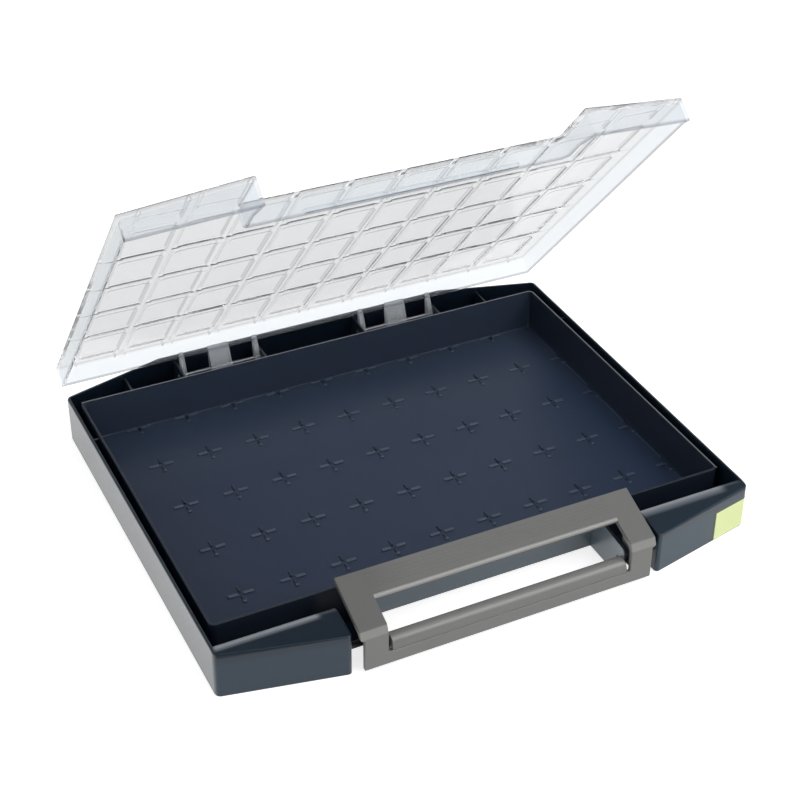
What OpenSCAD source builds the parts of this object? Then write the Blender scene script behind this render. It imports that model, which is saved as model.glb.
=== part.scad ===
/* [Tray] */
// Spacing of the floor grid across the case
cell_x = 39; // [34:1:44]
// Spacing of the floor grid from front to back
cell_y = 55; // [48:1:62]
// Number of grid cells across the case
columns = 10; // [10:1:12]
// Number of grid cells from front to back
rows = 5; // [4:1:6]
// Thickness of the floor
floor_t = 2; // [1.5:0.1:3]
// Height of the tray rim above the underside
rim_z = 36; // [34:0.5:36.5]
// Thickness of the tray wall at its rim
rim_t = 2; // [1.5:0.1:3]
// Outward lean of the tray wall over its height
wall_lean = 1.5; // [0.5:0.1:3]

/* [Floor marks] */
// Height of the plus marks above the floor
mark_h = 1.2; // [0.6:0.1:2]
// Width of the bars of a plus mark
mark_w = 1.2; // [0.8:0.1:2]
// Reach of a mark's bars across the case, from its middle
mark_reach_x = 10; // [6:0.5:14]
// Reach of a mark's bars to the front and back, from its middle
mark_reach_y = 8; // [5:0.5:12]
// Break at the middle of each mark
mark_break = 2; // [1.4:0.1:4]

/* [Outer wall] */
// Thickness of the outer wall
wall_t = 2.2; // [1.8:0.1:3]
// Height of the outer wall above the underside
wall_z = 37; // [37:0.5:40]
// Width of the channel at each side of the tray
side_gap = 5.3; // [4:0.1:9]
// Depth of the channel behind the tray, along the straight middle of the back
back_gap = 30.3; // [30:0.1:36]
// Depth of the channel behind the tray, at the rear corners
corner_gap = 7.8; // [5:0.1:14]
// Length of the straight middle of the back wall
back_mid_w = 250; // [230:1:270]
// Distance behind the middle of the ribs across the side channels
side_web_y = 94; // [60:1:120]
// Height of the ribs across the channels
web_z = 33; // [30:0.5:36]
// Thickness of the ribs across the channels
web_t = 1.6; // [1.2:0.1:2.4]

/* [Front blocks] */
// Width of the bay that holds the handle
bay_w = 237; // [235:0.5:242]
// Depth of the channel between the tray and the front ridge
front_gap = 16; // [12:0.5:18]
// Thickness of the front ridge
ridge_t = 3; // [2.4:0.1:4]
// Reach of the front block beyond the ridge, beside the handle
block_inner = 27; // [24:0.5:30]
// Reach of the front block beyond the ridge, at the outer corner
block_outer = 8; // [6:0.5:12]
// Drop of the sloping top from the ridge to the front edge, beside the handle
top_drop = 4; // [2:0.5:6]

/* [Brackets] */
// Distance from the side of the finger opening to a bracket's inner face
bracket_inset = 2.5; // [1.5:0.5:3.5]
// Thickness of a handle bracket
bracket_t = 2.5; // [2:0.1:3]
// Height of a bracket where it meets the tray
bracket_z = 31.5; // [30:0.5:33]
// Drop of the bracket's top edge from the tray to its front end
bracket_drop = 4; // [2:0.5:6]
// Radius of the bracket's nose round the pivot
nose_r = 7; // [6:0.1:7]
// Diameter of the boss round the pivot hole
boss_d = 10; // [8:0.5:12]
// Thickness of that boss
boss_t = 2.5; // [2:0.1:3]
// Reach of the shelf between a bracket and the block, in front of the tray
shelf_reach = 22; // [10:1:26]

/* [Corner tab] */
// Width of the tab along the front face
tab_w = 32; // [20:1:45]
// Length of the tab round the corner, along the side
tab_return = 5; // [3:0.5:12]
// Height of the tab
tab_h = 26; // [16:1:30]
// Thickness of the tab
tab_t = 1; // [0.6:0.1:1.2]
// Height of the tab's lower edge above the underside
tab_lift = 0.5; // [0.3:0.1:2]

/* [Hinges] */
// Distance of the hinge axis behind the tray wall
hinge_back = 17; // [16.5:0.1:18]
// Height of the hinge axis above the underside
hinge_z = 25.4; // [24:0.1:27]
// Diameter of the hinge rod
rod_d = 3.2; // [2.5:0.1:4]
// Diameter of the eye round the rod
eye_d = 8.4; // [7:0.1:9]
// Distance between the outer arms of one hinge, centre to centre
arm_pitch = 62; // [54:1:70]
// Width of an outer hinge arm
arm_w = 4; // [3:0.1:6]
// Width of the middle hinge arm
mid_arm_w = 17.5; // [12:0.5:24]
// Distance from the lid's rear edge to the hinge axis
lid_setback = 9.5; // [9:0.1:11]
// Height of the arm's root on the lid's rear wall
arm_root = 4.5; // [3:0.1:5]

/* [Lid] */
// Opening angle of the lid
lid_open = 48.4; // [0:0.1:75]
// Depth of the lid from its top to its lower edge
lid_h = 17.2; // [15:0.1:20]
// Thickness of the lid's walls
lid_wall = 2; // [1.6:0.1:2.6]
// Thickness of the lid's plate
plate_t = 3.3; // [3:0.1:4]
// Depth of the shallow pockets inside the plate
pocket_d = 1.4; // [0.8:0.1:1.8]
// Width of the bands between the pockets
band_w = 8; // [5:0.5:12]
// Corner radius of a pocket
pocket_r = 4; // [2:0.5:6]
// Depth of the grooves outside the plate
groove_d = 0.9; // [0.5:0.1:1]
// Width of the grooves outside the plate
groove_w = 4; // [2:0.5:5]
// Clearance under the closed lid
seat_gap = 0.3; // [0.2:0.1:0.6]
// Length of the ledge that the handle catches
ledge_w = 160; // [100:1:200]
// Height of the ledge above the lid's lower edge
ledge_lift = 0.6; // [0.3:0.1:0.8]
// Reach of the ledge in front of the lid
ledge_reach = 3.5; // [2:0.1:4]
// Thickness of the ledge
ledge_t = 3; // [2:0.1:3.2]

/* [Handle] */
// Gap between the handle and the front block at each side
handle_play = 5; // [3.5:0.5:6.5]
// Width of a handle arm
arm_face_w = 20; // [18.5:0.5:21.5]
// Distance from the tray wall to the back edge of the handle
handle_gap = 6; // [5.5:0.1:8]
// Depth of the handle from its back edge to its front face
handle_d = 43; // [41:0.5:46]
// Height of the handle's back edge
handle_z = 50.5; // [49.5:0.5:53]
// Fall of the handle's top from back to front
handle_fall = 15.5; // [12:0.5:16]
// Depth of the rear bar
bar_d = 19.5; // [16:0.5:22]
// Thickness of the handle's top
top_t = 4.4; // [3.6:0.1:5]
// Thickness of the handle's front plate
front_t = 3.6; // [3:0.1:4.5]
// Clearance under the handle's front plate
foot_gap = 2.2; // [2:0.1:3]
// Height of the front plate below the grip
sill_h = 10; // [8:0.5:12]
// Height of the bevel above the arms' front faces
bevel_h = 6; // [4:0.5:9]
// Depth of that bevel
bevel_d = 2.5; // [1.5:0.5:5]
// Diameter of the rounded grip
grip_d = 13; // [11:0.1:14]
// Height of the grip's axis above the sill
grip_rise = 2.6; // [1:0.1:4]
// Distance from the tray wall to the pivot axis
pivot_reach = 36; // [35:0.5:37]
// Height of the pivot axis above the underside
pivot_z = 16; // [15.5:0.1:17]
// Diameter of the pivot pin
pivot_d = 5; // [4:0.1:6]
// Width of the handle's lug round the pivot pin
lug_w = 6; // [4:0.5:9]
// Diameter of that lug
lug_d = 11; // [9:0.5:13]
// Radial clearance of the pins in their holes
pin_gap = 0.05; // [0.02:0.01:0.1]

/* [Hidden] */
$fn = 64;
corner_steps = 4;
tiny = 0.01;
cut_over = 1;
far = 1000;
fit_gap = 0.1;
arm_play = 0.5;
rod_end = 1;
sunk = 1;
pin_end = 0.1;
lug_play = 0.8;
grip_play = 0.5;

// The floor inside the tray, the tray's outer faces and the case's sides
floor_x = columns * cell_x / 2;
floor_y = rows * cell_y / 2;
tray_x = floor_x + wall_lean + rim_t;
tray_y = floor_y + wall_lean + rim_t;
side_x = tray_x + side_gap + wall_t;
back_y = tray_y + back_gap + wall_t;
corner_y = tray_y + corner_gap + wall_t;
ridge_y = -tray_y - front_gap - ridge_t;
block_y = ridge_y - block_inner;
front_corner_y = ridge_y - block_outer;
bay_x = bay_w / 2;
top_angle = atan(top_drop / block_inner);
lean_angle = atan(wall_lean / (rim_z - floor_t));

// Marks stop just short of the leaning walls, and the back ribs lie on grid lines
mark_edge = 0.05;
back_web_x = 4 * cell_x;

hinge_y = tray_y + hinge_back;
hinge_x = 2 * cell_x;
hinge_web = arm_pitch / 2 + arm_w / 2 + web_t / 2 + arm_play;
rear_y = hinge_y - lid_setback;
seat_z = wall_z + seat_gap;
lid_top = seat_z + lid_h;

handle_w = bay_w - 2 * handle_play;
grip_w = handle_w - 2 * arm_face_w;
handle_back = -tray_y - handle_gap;
handle_front = handle_back - handle_d;
handle_front_z = handle_z - handle_fall;
pivot_y = -tray_y - pivot_reach;
nose_y = pivot_y - nose_r;
bracket_x = grip_w / 2 - bracket_inset;
lug_x = bracket_x + bracket_t + boss_t + lug_play;

// Outline of the case seen from above, anticlockwise
case_outline = [
    [-bay_x, -tray_y], [bay_x, -tray_y], [bay_x, block_y], [side_x, front_corner_y],
    [side_x, corner_y], [back_mid_w / 2, back_y], [-back_mid_w / 2, back_y],
    [-side_x, corner_y], [-side_x, front_corner_y], [-bay_x, block_y]];

// Outline of the lid seen from above, anticlockwise
lid_outline = [
    [-bay_x, -tray_y], [bay_x, -tray_y], [bay_x, block_y], [side_x, front_corner_y],
    [side_x, rear_y], [-side_x, rear_y], [-side_x, front_corner_y], [-bay_x, block_y]];

function unit(v) = v / norm(v);

// An anticlockwise outline moved inwards by d, with mitred corners
function inset(p, d) = let (n = len(p)) [
    for (i = [0 : n - 1])
        let (u = unit(p[i] - p[(i + n - 1) % n]), v = unit(p[(i + 1) % n] - p[i]),
             nu = [-u[1], u[0]], nv = [-v[1], v[0]])
        p[i] + d * (nu + nv) / (1 + nu * nv)];

// A rectangle w by h about its middle, with corners of radius r
function soft_rectangle(w, h, r) = [
    for (q = [0 : 3], k = [0 : corner_steps])
        let (a = 90 * q + 90 * k / corner_steps,
             cx = (q == 0 || q == 3 ? 1 : -1) * (w / 2 - r),
             cy = (q < 2 ? 1 : -1) * (h / 2 - r))
        [cx + r * cos(a), cy + r * sin(a)]];

module mirror_pair() {
    children();
    mirror([1, 0, 0]) children();
}

// A profile drawn in the front-to-back plane as [y, z], carried across from x0 to x1
module across(x0, x1) {
    translate([x0, 0, 0]) rotate([90, 0, 90]) linear_extrude(x1 - x0) children();
}

module bar_x(x0, x1, y, z, d) {
    translate([x0, y, z]) rotate([0, 90, 0]) cylinder(d = d, h = x1 - x0);
}

// The half of space on the inner side of one leaning tray wall, the one towards +X
module inside_side_wall() {
    translate([floor_x, 0, floor_t]) rotate([0, lean_angle, 0])
        translate([-far, -far / 2, -far / 2]) cube(far);
}

// The same for the back wall of the tray
module inside_back_wall() {
    translate([0, floor_y, floor_t]) rotate([-lean_angle, 0, 0])
        translate([-far / 2, -far, -far / 2]) cube(far);
}

// The space inside the tray, widening upwards
module tray_space() {
    intersection() {
        translate([-far / 2, -far / 2, floor_t]) cube(far);
        inside_side_wall();
        mirror([1, 0, 0]) inside_side_wall();
        inside_back_wall();
        mirror([0, 1, 0]) inside_back_wall();
    }
}

// Everything above the sloping top of the front blocks, moved up by lift
module above_blocks(lift) {
    translate([0, ridge_y, wall_z + lift]) rotate([top_angle, 0, 0])
        translate([-far / 2, -far, 0]) cube([far, 2 * far, far]);
}

// Everything below that slope, moved up by lift
module below_blocks(lift) {
    translate([0, ridge_y, wall_z + lift]) rotate([top_angle, 0, 0])
        translate([-far / 2, -far, -far]) cube(far);
}

module rectangle(x, y) {
    translate([-x, -y]) square([2 * x, 2 * y]);
}

// The channels that run round the tray at both sides, the back and beside the bay
module channel_plan() {
    difference() {
        intersection() {
            polygon(inset(case_outline, wall_t));
            translate([-far / 2, ridge_y + ridge_t]) square(far);
        }
        rectangle(tray_x, tray_y);
    }
}

// The hollows under the two front blocks
module block_hollows() {
    difference() {
        translate([0, 0, -cut_over]) linear_extrude(wall_z) intersection() {
            polygon(inset(case_outline, wall_t));
            translate([-far / 2, ridge_y - far]) square(far);
        }
        above_blocks(-wall_t);
    }
}

// One plus mark, four bars round a small break
module plus_mark() {
    for (s = [-1, 1]) {
        translate([s * (mark_break + mark_reach_x) / 2, 0])
            square([mark_reach_x - mark_break, mark_w], center = true);
        translate([0, s * (mark_break + mark_reach_y) / 2])
            square([mark_w, mark_reach_y - mark_break], center = true);
    }
}

// Plus marks at every crossing of the floor grid, cut in half where they meet a wall
module floor_marks() {
    translate([0, 0, floor_t - tiny]) linear_extrude(mark_h + tiny) intersection() {
        for (i = [0 : columns], j = [0 : rows])
            if ((i > 0 && i < columns) || (j > 0 && j < rows))
                translate([i * cell_x - floor_x, j * cell_y - floor_y]) plus_mark();
        rectangle(floor_x - mark_edge, floor_y - mark_edge);
    }
}

// Thin ribs across the side and back channels
module web_plan() {
    intersection() {
        polygon(inset(case_outline, wall_t / 2));
        union() {
            for (s = [-1, 1]) {
                translate([s * (tray_x + side_gap / 2), side_web_y])
                    square([side_gap + wall_t, web_t], center = true);
                translate([s * back_web_x - web_t / 2, tray_y - rim_t / 2])
                    square([web_t, back_gap + wall_t]);
                for (k = [-1, 1])
                    translate([s * (hinge_x + k * hinge_web) - web_t / 2, tray_y - rim_t / 2])
                        square([web_t, back_gap + wall_t]);
            }
        }
    }
}

// One of the two brackets that hold the handle's pivots, on the +X side
module bracket() {
    difference() {
        union() {
            across(bracket_x, bracket_x + bracket_t) {
                translate([pivot_y, pivot_z]) circle(r = nose_r);
                polygon([[-tray_y + tiny, 0], [-tray_y + tiny, bracket_z],
                         [nose_y + nose_r / 2, bracket_z - bracket_drop],
                         [nose_y, bracket_z - bracket_drop - nose_r / 2], [nose_y, pivot_z],
                         [pivot_y, pivot_z - nose_r], [pivot_y + pivot_z, 0]]);
            }
            bar_x(bracket_x + tiny, bracket_x + bracket_t + boss_t, pivot_y, pivot_z, boss_d);
        }
        pivot_bore();
    }
}

// The low shelf between a bracket and the block beside it
module bay_shelf() {
    translate([bracket_x + tiny, -tray_y - shelf_reach, 0])
        cube([bay_x + wall_t / 2 - bracket_x, shelf_reach + tiny, floor_t]);
}

// The hole for a pivot pin, right through the bracket and the block beside it
module pivot_bore() {
    bar_x(bracket_x - cut_over, bay_x + wall_t + cut_over, pivot_y, pivot_z, pivot_d + 2 * pin_gap);
}

// Where the tab lies in the right front corner, as a plan grown at its ends by gap
module tab_plan(gap) {
    intersection() {
        difference() {
            polygon(case_outline);
            polygon(inset(case_outline, tab_t));
        }
        translate([side_x - tab_w - gap, front_corner_y + tab_return + gap - far])
            square(far);
    }
}

module base_shell() {
    color([0.09, 0.12, 0.17]) union() {
        difference() {
            linear_extrude(wall_z) polygon(case_outline);
            tray_space();
            translate([0, 0, rim_z]) linear_extrude(far) rectangle(tray_x, tray_y);
            translate([0, 0, floor_t]) linear_extrude(far) channel_plan();
            block_hollows();
            above_blocks(0);
            translate([0, 0, -cut_over]) linear_extrude(tab_h + fit_gap + cut_over) tab_plan(fit_gap);
            pivot_bore();
            mirror([1, 0, 0]) pivot_bore();
        }
        floor_marks();
        difference() {
            translate([0, 0, floor_t / 2]) linear_extrude(web_z - floor_t / 2) web_plan();
            mirror_pair() bar_x(hinge_x - far / 4, hinge_x + far / 4, hinge_y, hinge_z, rod_d + 2 * pin_gap);
        }
        mirror_pair() {
            bracket();
            bay_shelf();
        }
    }
}

module corner_tab() {
    color([0.86, 0.92, 0.62])
        translate([0, 0, tab_lift]) linear_extrude(tab_h - tab_lift) tab_plan(0);
}

module hinge_rod() {
    reach = hinge_web + web_t / 2 + rod_end;
    bar_x(hinge_x - reach, hinge_x + reach, hinge_y, hinge_z, rod_d);
}

module hinge_rod_left() {
    color([0.75, 0.76, 0.78]) mirror([1, 0, 0]) hinge_rod();
}

module hinge_rod_right() {
    color([0.75, 0.76, 0.78]) hinge_rod();
}

// Pockets on the inside of the lid, one over each floor cell and four in the corners
module pocket_plan() {
    for (i = [0 : columns - 1], j = [0 : rows - 1])
        translate([(i + 0.5) * cell_x - floor_x, (j + 0.5) * cell_y - floor_y])
            polygon(soft_rectangle(cell_x - band_w, cell_y - band_w, pocket_r));
    for (s = [-1, 1], i = [0, 1])
        translate([s * (floor_x - (i + 0.5) * cell_x), (ridge_y - tray_y) / 2])
            polygon(soft_rectangle(cell_x - band_w, -ridge_y - tray_y - lid_wall, pocket_r));
}

// Grooves on the outside of the lid, along the grid lines
module groove_plan() {
    for (i = [1 : columns - 1])
        translate([i * cell_x - floor_x - groove_w / 2, -floor_y]) square([groove_w, 2 * floor_y]);
    for (j = [1 : rows - 1])
        translate([-floor_x, j * cell_y - floor_y - groove_w / 2]) square([2 * floor_x, groove_w]);
}

// An arm from the lid's rear wall down to its eye on the rod, from x0 to x1
module hinge_arm(x0, x1) {
    root = [rear_y - lid_wall / 2, seat_z + arm_root / 2];
    d = unit([hinge_y, hinge_z] - root);
    side = [-d[1], d[0]] * eye_d / 2;
    across(x0, x1) difference() {
        union() {
            translate([hinge_y, hinge_z]) circle(d = eye_d);
            polygon([[root[0], seat_z], [hinge_y, hinge_z] - side,
                     [hinge_y, hinge_z] + side, [root[0], seat_z + arm_root]]);
        }
        translate([hinge_y, hinge_z]) circle(d = rod_d + 2 * pin_gap);
    }
}

// The lid as it lies closed on the case
module closed_lid() {
    low = seat_z - top_drop - cut_over;
    difference() {
        translate([0, 0, low]) linear_extrude(lid_top - low) polygon(lid_outline);
        translate([-far / 2, ridge_y, seat_z - far]) cube(far);
        below_blocks(seat_gap);
        translate([0, 0, low - cut_over]) linear_extrude(lid_top - plate_t - low + cut_over)
            polygon(inset(lid_outline, lid_wall));
        translate([0, 0, lid_top - plate_t - tiny]) linear_extrude(pocket_d + tiny) pocket_plan();
        translate([0, 0, lid_top - groove_d]) linear_extrude(far) groove_plan();
    }
    mirror_pair() {
        hinge_arm(hinge_x - arm_pitch / 2 - arm_w / 2, hinge_x - arm_pitch / 2 + arm_w / 2);
        hinge_arm(hinge_x - mid_arm_w / 2, hinge_x + mid_arm_w / 2);
        hinge_arm(hinge_x + arm_pitch / 2 - arm_w / 2, hinge_x + arm_pitch / 2 + arm_w / 2);
    }
    translate([-ledge_w / 2, -tray_y - ledge_reach, seat_z + ledge_lift])
        cube([ledge_w, ledge_reach + lid_wall / 2, ledge_t]);
}

module lid_shell() {
    color([0.88, 0.91, 0.94, 0.4])
        translate([0, hinge_y, hinge_z]) rotate([-lid_open, 0, 0]) translate([0, -hinge_y, -hinge_z])
            closed_lid();
}

// Side view of the handle: a sloping top that turns down into the front plate
module handle_profile() {
    slope = handle_fall / (handle_d - bevel_d);
    drop = top_t / cos(atan(slope));
    polygon([
        [handle_back, handle_z], [handle_front + bevel_d, handle_front_z],
        [handle_front, handle_front_z - bevel_h], [handle_front, foot_gap],
        [handle_front + front_t, foot_gap], [handle_front + front_t, handle_front_z - bevel_h],
        [handle_front + bevel_d + front_t, handle_front_z - drop + slope * front_t],
        [handle_back, handle_z - drop]]);
}

// A web from the front plate and the top down to the eye of one pivot
module handle_lug() {
    inner = handle_front + front_t - sunk;
    across(lug_x, lug_x + lug_w) difference() {
        union() {
            translate([pivot_y, pivot_z]) circle(d = lug_d);
            polygon([[inner, pivot_z - lug_d / 2], [pivot_y, pivot_z - lug_d / 2],
                     [pivot_y + lug_d / 2, pivot_z], [pivot_y + lug_d / 2, handle_front_z],
                     [handle_front + bevel_d + front_t, handle_front_z - top_t + sunk],
                     [inner, handle_front_z - bevel_h]]);
        }
        translate([pivot_y, pivot_z]) circle(d = pivot_d + 2 * pin_gap);
    }
}

module handle_frame() {
    color([0.42, 0.42, 0.41]) union() {
        difference() {
            across(-handle_w / 2, handle_w / 2) handle_profile();
            translate([-grip_w / 2, handle_back - bar_d - far, foot_gap + sill_h])
                cube([grip_w, far, far]);
        }
        mirror_pair() handle_lug();
    }
}

// The rounded grip, which sits behind and above the sill of the front plate
module handle_grip() {
    grip_y = handle_front + grip_d / 2;
    color([0.47, 0.47, 0.46])
        across(-bracket_x + grip_play, bracket_x - grip_play) difference() {
            translate([grip_y, foot_gap + sill_h + grip_rise]) circle(d = grip_d);
            translate([handle_front - cut_over, 0])
                square([front_t + cut_over + fit_gap, foot_gap + sill_h + fit_gap]);
        }
}

module handle_pivot() {
    bar_x(bracket_x - pin_end, bay_x + wall_t, pivot_y, pivot_z, pivot_d);
}

module handle_pivot_left() {
    color([0.2, 0.2, 0.21]) mirror([1, 0, 0]) handle_pivot();
}

module handle_pivot_right() {
    color([0.2, 0.2, 0.21]) handle_pivot();
}

base_shell();
corner_tab();
hinge_rod_left();
hinge_rod_right();
lid_shell();
handle_frame();
handle_grip();
handle_pivot_left();
handle_pivot_right();
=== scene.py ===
"""Carry case with a gridded tray, a clear hinged lid and a carrying handle.

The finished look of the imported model: every surface is worked out from the case's sizes and
laid over the CAD nodes, in metres, in their frame.
"""

import math

import bpy
import numpy as np
from bpy.props import FloatProperty, FloatVectorProperty, IntProperty, PointerProperty
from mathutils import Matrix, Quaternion, Vector


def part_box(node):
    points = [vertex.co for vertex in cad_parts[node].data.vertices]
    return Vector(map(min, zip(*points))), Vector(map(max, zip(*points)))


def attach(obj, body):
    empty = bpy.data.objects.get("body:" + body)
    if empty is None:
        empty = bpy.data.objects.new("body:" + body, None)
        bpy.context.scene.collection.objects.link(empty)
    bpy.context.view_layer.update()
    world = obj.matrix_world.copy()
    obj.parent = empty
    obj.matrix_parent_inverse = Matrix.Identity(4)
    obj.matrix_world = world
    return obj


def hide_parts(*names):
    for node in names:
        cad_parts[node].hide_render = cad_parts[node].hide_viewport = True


bl_info = {
    "name": "Gridded carry case",
    "version": (1, 0, 0),
    "blender": (4, 5, 0),
    "location": "3D View > Sidebar > Carry case",
    "description": "Builds a carry case with a gridded tray, a clear lid and a handle",
    "category": "Mesh",
}

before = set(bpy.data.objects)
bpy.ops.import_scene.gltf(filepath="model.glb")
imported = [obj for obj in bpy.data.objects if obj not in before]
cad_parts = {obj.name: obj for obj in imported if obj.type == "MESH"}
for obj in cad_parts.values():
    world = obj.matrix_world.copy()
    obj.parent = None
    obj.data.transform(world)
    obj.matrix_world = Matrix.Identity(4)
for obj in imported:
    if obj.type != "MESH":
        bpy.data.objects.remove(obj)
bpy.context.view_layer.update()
X, Y, Z = range(3)
FADE = 0.0004  # width over which one tone of a surface gives way to the next
# The body that a piece rides on, the CAD nodes that it stands for, and its material slot
BASE = ("base", ["base_shell"], "navy_plastic")
LID = ("lid", ["lid_shell"], "clear_plastic")
HANDLE = ("handle", ["handle_frame"], "grey_plastic")


def length(name, description, default):
    """A size that a user can change."""
    return FloatProperty(name=name, description=description, default=default, unit="LENGTH")


def colour(name, description, default):
    """A colour that a user can change."""
    return FloatVectorProperty(
        name=name, description=description, default=default, subtype="COLOR", size=3, min=0, max=1
    )


class CaseSizes(bpy.types.PropertyGroup):
    """Sizes of the tray, the outer wall and the front blocks."""

    cell_x: length("Cell width", "Spacing of the floor grid across the case", 0.039)
    cell_y: length("Cell depth", "Spacing of the floor grid from front to back", 0.055)
    columns: IntProperty(name="Columns", description="Grid cells across the case", default=10)
    rows: IntProperty(name="Rows", description="Grid cells from front to back", default=5)
    floor_z: length("Floor height", "Height of the tray floor above the underside", 0.002)
    rim_z: length("Tray rim", "Height of the tray rim", 0.036)
    rim_t: length("Tray wall", "Thickness of the tray wall at its rim", 0.002)
    lean: length("Wall lean", "Outward lean of the tray wall over its height", 0.0015)
    wall_z: length("Outer wall height", "Height of the outer wall", 0.037)
    wall_t: length("Outer wall thickness", "Thickness of the outer wall", 0.0022)
    side_x: length("Half width", "From the middle to the outer side wall", 0.206)
    back_y: length("Back", "From the middle to the straight part of the back wall", 0.1735)
    corner_y: length("Rear corner", "From the middle to the rear corners", 0.151)
    back_x: length("Back half length", "Half the straight part of the back wall", 0.125)
    bay_x: length("Bay half width", "Half the width of the handle's bay", 0.1185)
    ridge_y: length("Ridge", "From the middle to the front face of the ridge", -0.160)
    ridge_t: length("Ridge thickness", "Thickness of the ridge", 0.003)
    block_y: length("Block front", "Front of the block beside the handle", -0.187)
    corner_front_y: length("Front corner", "Front of the block at its outer corner", -0.168)
    top_drop: length("Top drop", "Drop of the block's top to its front edge", 0.004)
    shelf_reach: length("Shelf reach", "Reach of the low shelves beside the brackets", 0.0225)
    web_y: length("Side rib", "From the middle back to the ribs of the side channels", 0.094)
    web_z: length("Rib height", "Height of the ribs in the channels", 0.033)
    web_t: length("Rib thickness", "Thickness of the ribs", 0.0016)
    mark_low: length("Mark height", "Height of the marks' rounded bars above the floor", 0.0009)
    mark_wide: length("Mark bar width", "Width of the bars across the case", 0.0028)
    mark_w: length("Mark width", "Width of the bars of a plus mark", 0.0017)
    mark_x: length("Mark reach across", "Reach of a mark's bars across the case", 0.0095)
    mark_y: length("Mark reach in depth", "Reach of a mark's bars to front and back", 0.008)
    mark_break: length("Mark break", "Break at the middle of a mark", 0.002)


class LidSizes(bpy.types.PropertyGroup):
    """Sizes of the lid and its hinges."""

    hinge_x: length("Hinge", "From the middle to a hinge", 0.078)
    hinge_y: length("Hinge axis depth", "Hinge axis behind the middle", 0.158)
    hinge_z: length("Hinge axis height", "Height of the hinge axis", 0.0254)
    rod_d: length("Rod diameter", "Diameter of the hinge rod", 0.0032)
    rod_reach: length("Rod reach", "Half the length of a rod", 0.0361)
    eye_d: length("Eye diameter", "Diameter of the eye round the rod", 0.0084)
    arm_x: length("Arm spacing", "From a hinge's middle to its outer arms", 0.031)
    arm_w: length("Arm width", "Width of an outer arm", 0.004)
    middle_arm_w: length("Middle arm width", "Width of the middle arm", 0.0175)
    arm_root: length("Arm root", "Height of the arm on the lid's rear wall", 0.0045)
    rear_y: length("Lid rear", "Rear face of the closed lid", 0.1485)
    notch_y: length("Lid notch", "Rear of the notch over the handle", -0.141)
    seat_z: length("Seat", "Lower edge of the closed lid", 0.0373)
    height: length("Lid depth", "Depth of the lid from top to lower edge", 0.0172)
    wall: length("Lid wall", "Thickness of the lid's walls", 0.002)
    plate_t: length("Lid plate", "Thickness of the lid's plate", 0.0033)
    pocket_d: length("Pocket depth", "Depth of the pockets inside the plate", 0.0014)
    band_w: length("Band width", "Width of the bands between the pockets", 0.008)
    pocket_r: length("Pocket corner", "Corner radius of a pocket", 0.004)
    groove_d: length("Groove depth", "Depth of the grooves outside the plate", 0.0009)
    groove_w: length("Groove width", "Width of the grooves outside the plate", 0.004)
    ledge_w: length("Ledge length", "Length of the ledge that the handle catches", 0.160)
    ledge_reach: length("Ledge reach", "Reach of the ledge in front of the lid", 0.0035)
    ledge_t: length("Ledge thickness", "Thickness of the ledge", 0.003)
    ledge_z: length("Ledge height", "Lower face of the ledge on the closed lid", 0.0379)
    opening: FloatProperty(
        name="Opening", description="Opening angle of the lid", default=math.radians(48.4), subtype="ANGLE"
    )


class HandleSizes(bpy.types.PropertyGroup):
    """Sizes of the handle, its grip, its brackets and its pivots."""

    half_w: length("Half width", "Half the width of the handle", 0.1135)
    hole_x: length("Opening", "Half the width of the finger opening", 0.0935)
    back_y: length("Back edge", "Back edge of the handle", -0.147)
    front_y: length("Front face", "Front face of the handle", -0.190)
    back_z: length("Back height", "Height of the back edge", 0.0505)
    front_z: length("Front height", "Height where the top meets the bevel", 0.035)
    bar_d: length("Bar depth", "Depth of the rear bar", 0.0195)
    top_t: length("Top thickness", "Thickness of the top", 0.0044)
    front_t: length("Front thickness", "Thickness of the front plate", 0.0036)
    foot_z: length("Foot", "Lower edge of the front plate", 0.0022)
    sill_z: length("Sill", "Top of the front plate below the grip", 0.0122)
    bevel_h: length("Bevel height", "Height of the bevel on the arms", 0.006)
    bevel_d: length("Bevel depth", "Depth of the bevel on the arms", 0.0025)
    step_h: length("Step height", "Height over which the front plate narrows below the bevel", 0.0016)
    step_w: length("Step width", "How much narrower the front plate is than the top, at each side", 0.0028)
    grip_d: length("Grip diameter", "Diameter of the grip", 0.013)
    grip_z: length("Grip height", "Height of the grip's axis", 0.0148)
    grip_x: length("Grip reach", "Half the length of the grip", 0.0905)
    pivot_y: length("Pivot depth", "Pivot axis in front of the middle", -0.177)
    pivot_z: length("Pivot height", "Height of the pivot axis", 0.016)
    pivot_d: length("Pivot diameter", "Diameter of a pivot pin", 0.005)
    bracket_x: length("Bracket", "From the middle to a bracket's inner face", 0.091)
    bracket_t: length("Bracket thickness", "Thickness of a bracket", 0.0025)
    bracket_z: length("Bracket height", "Height of a bracket at the tray", 0.0315)
    bracket_drop: length("Bracket drop", "Drop of a bracket's top to its front", 0.004)
    nose_r: length("Bracket nose", "Radius of a bracket's nose", 0.007)
    boss_d: length("Boss diameter", "Diameter of the boss round a pivot", 0.010)
    boss_t: length("Boss thickness", "Thickness of that boss", 0.0025)
    lug_x: length("Lug", "From the middle to a lug", 0.0968)
    lug_w: length("Lug width", "Width of a lug", 0.006)
    lug_d: length("Lug diameter", "Diameter of a lug", 0.011)


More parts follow.
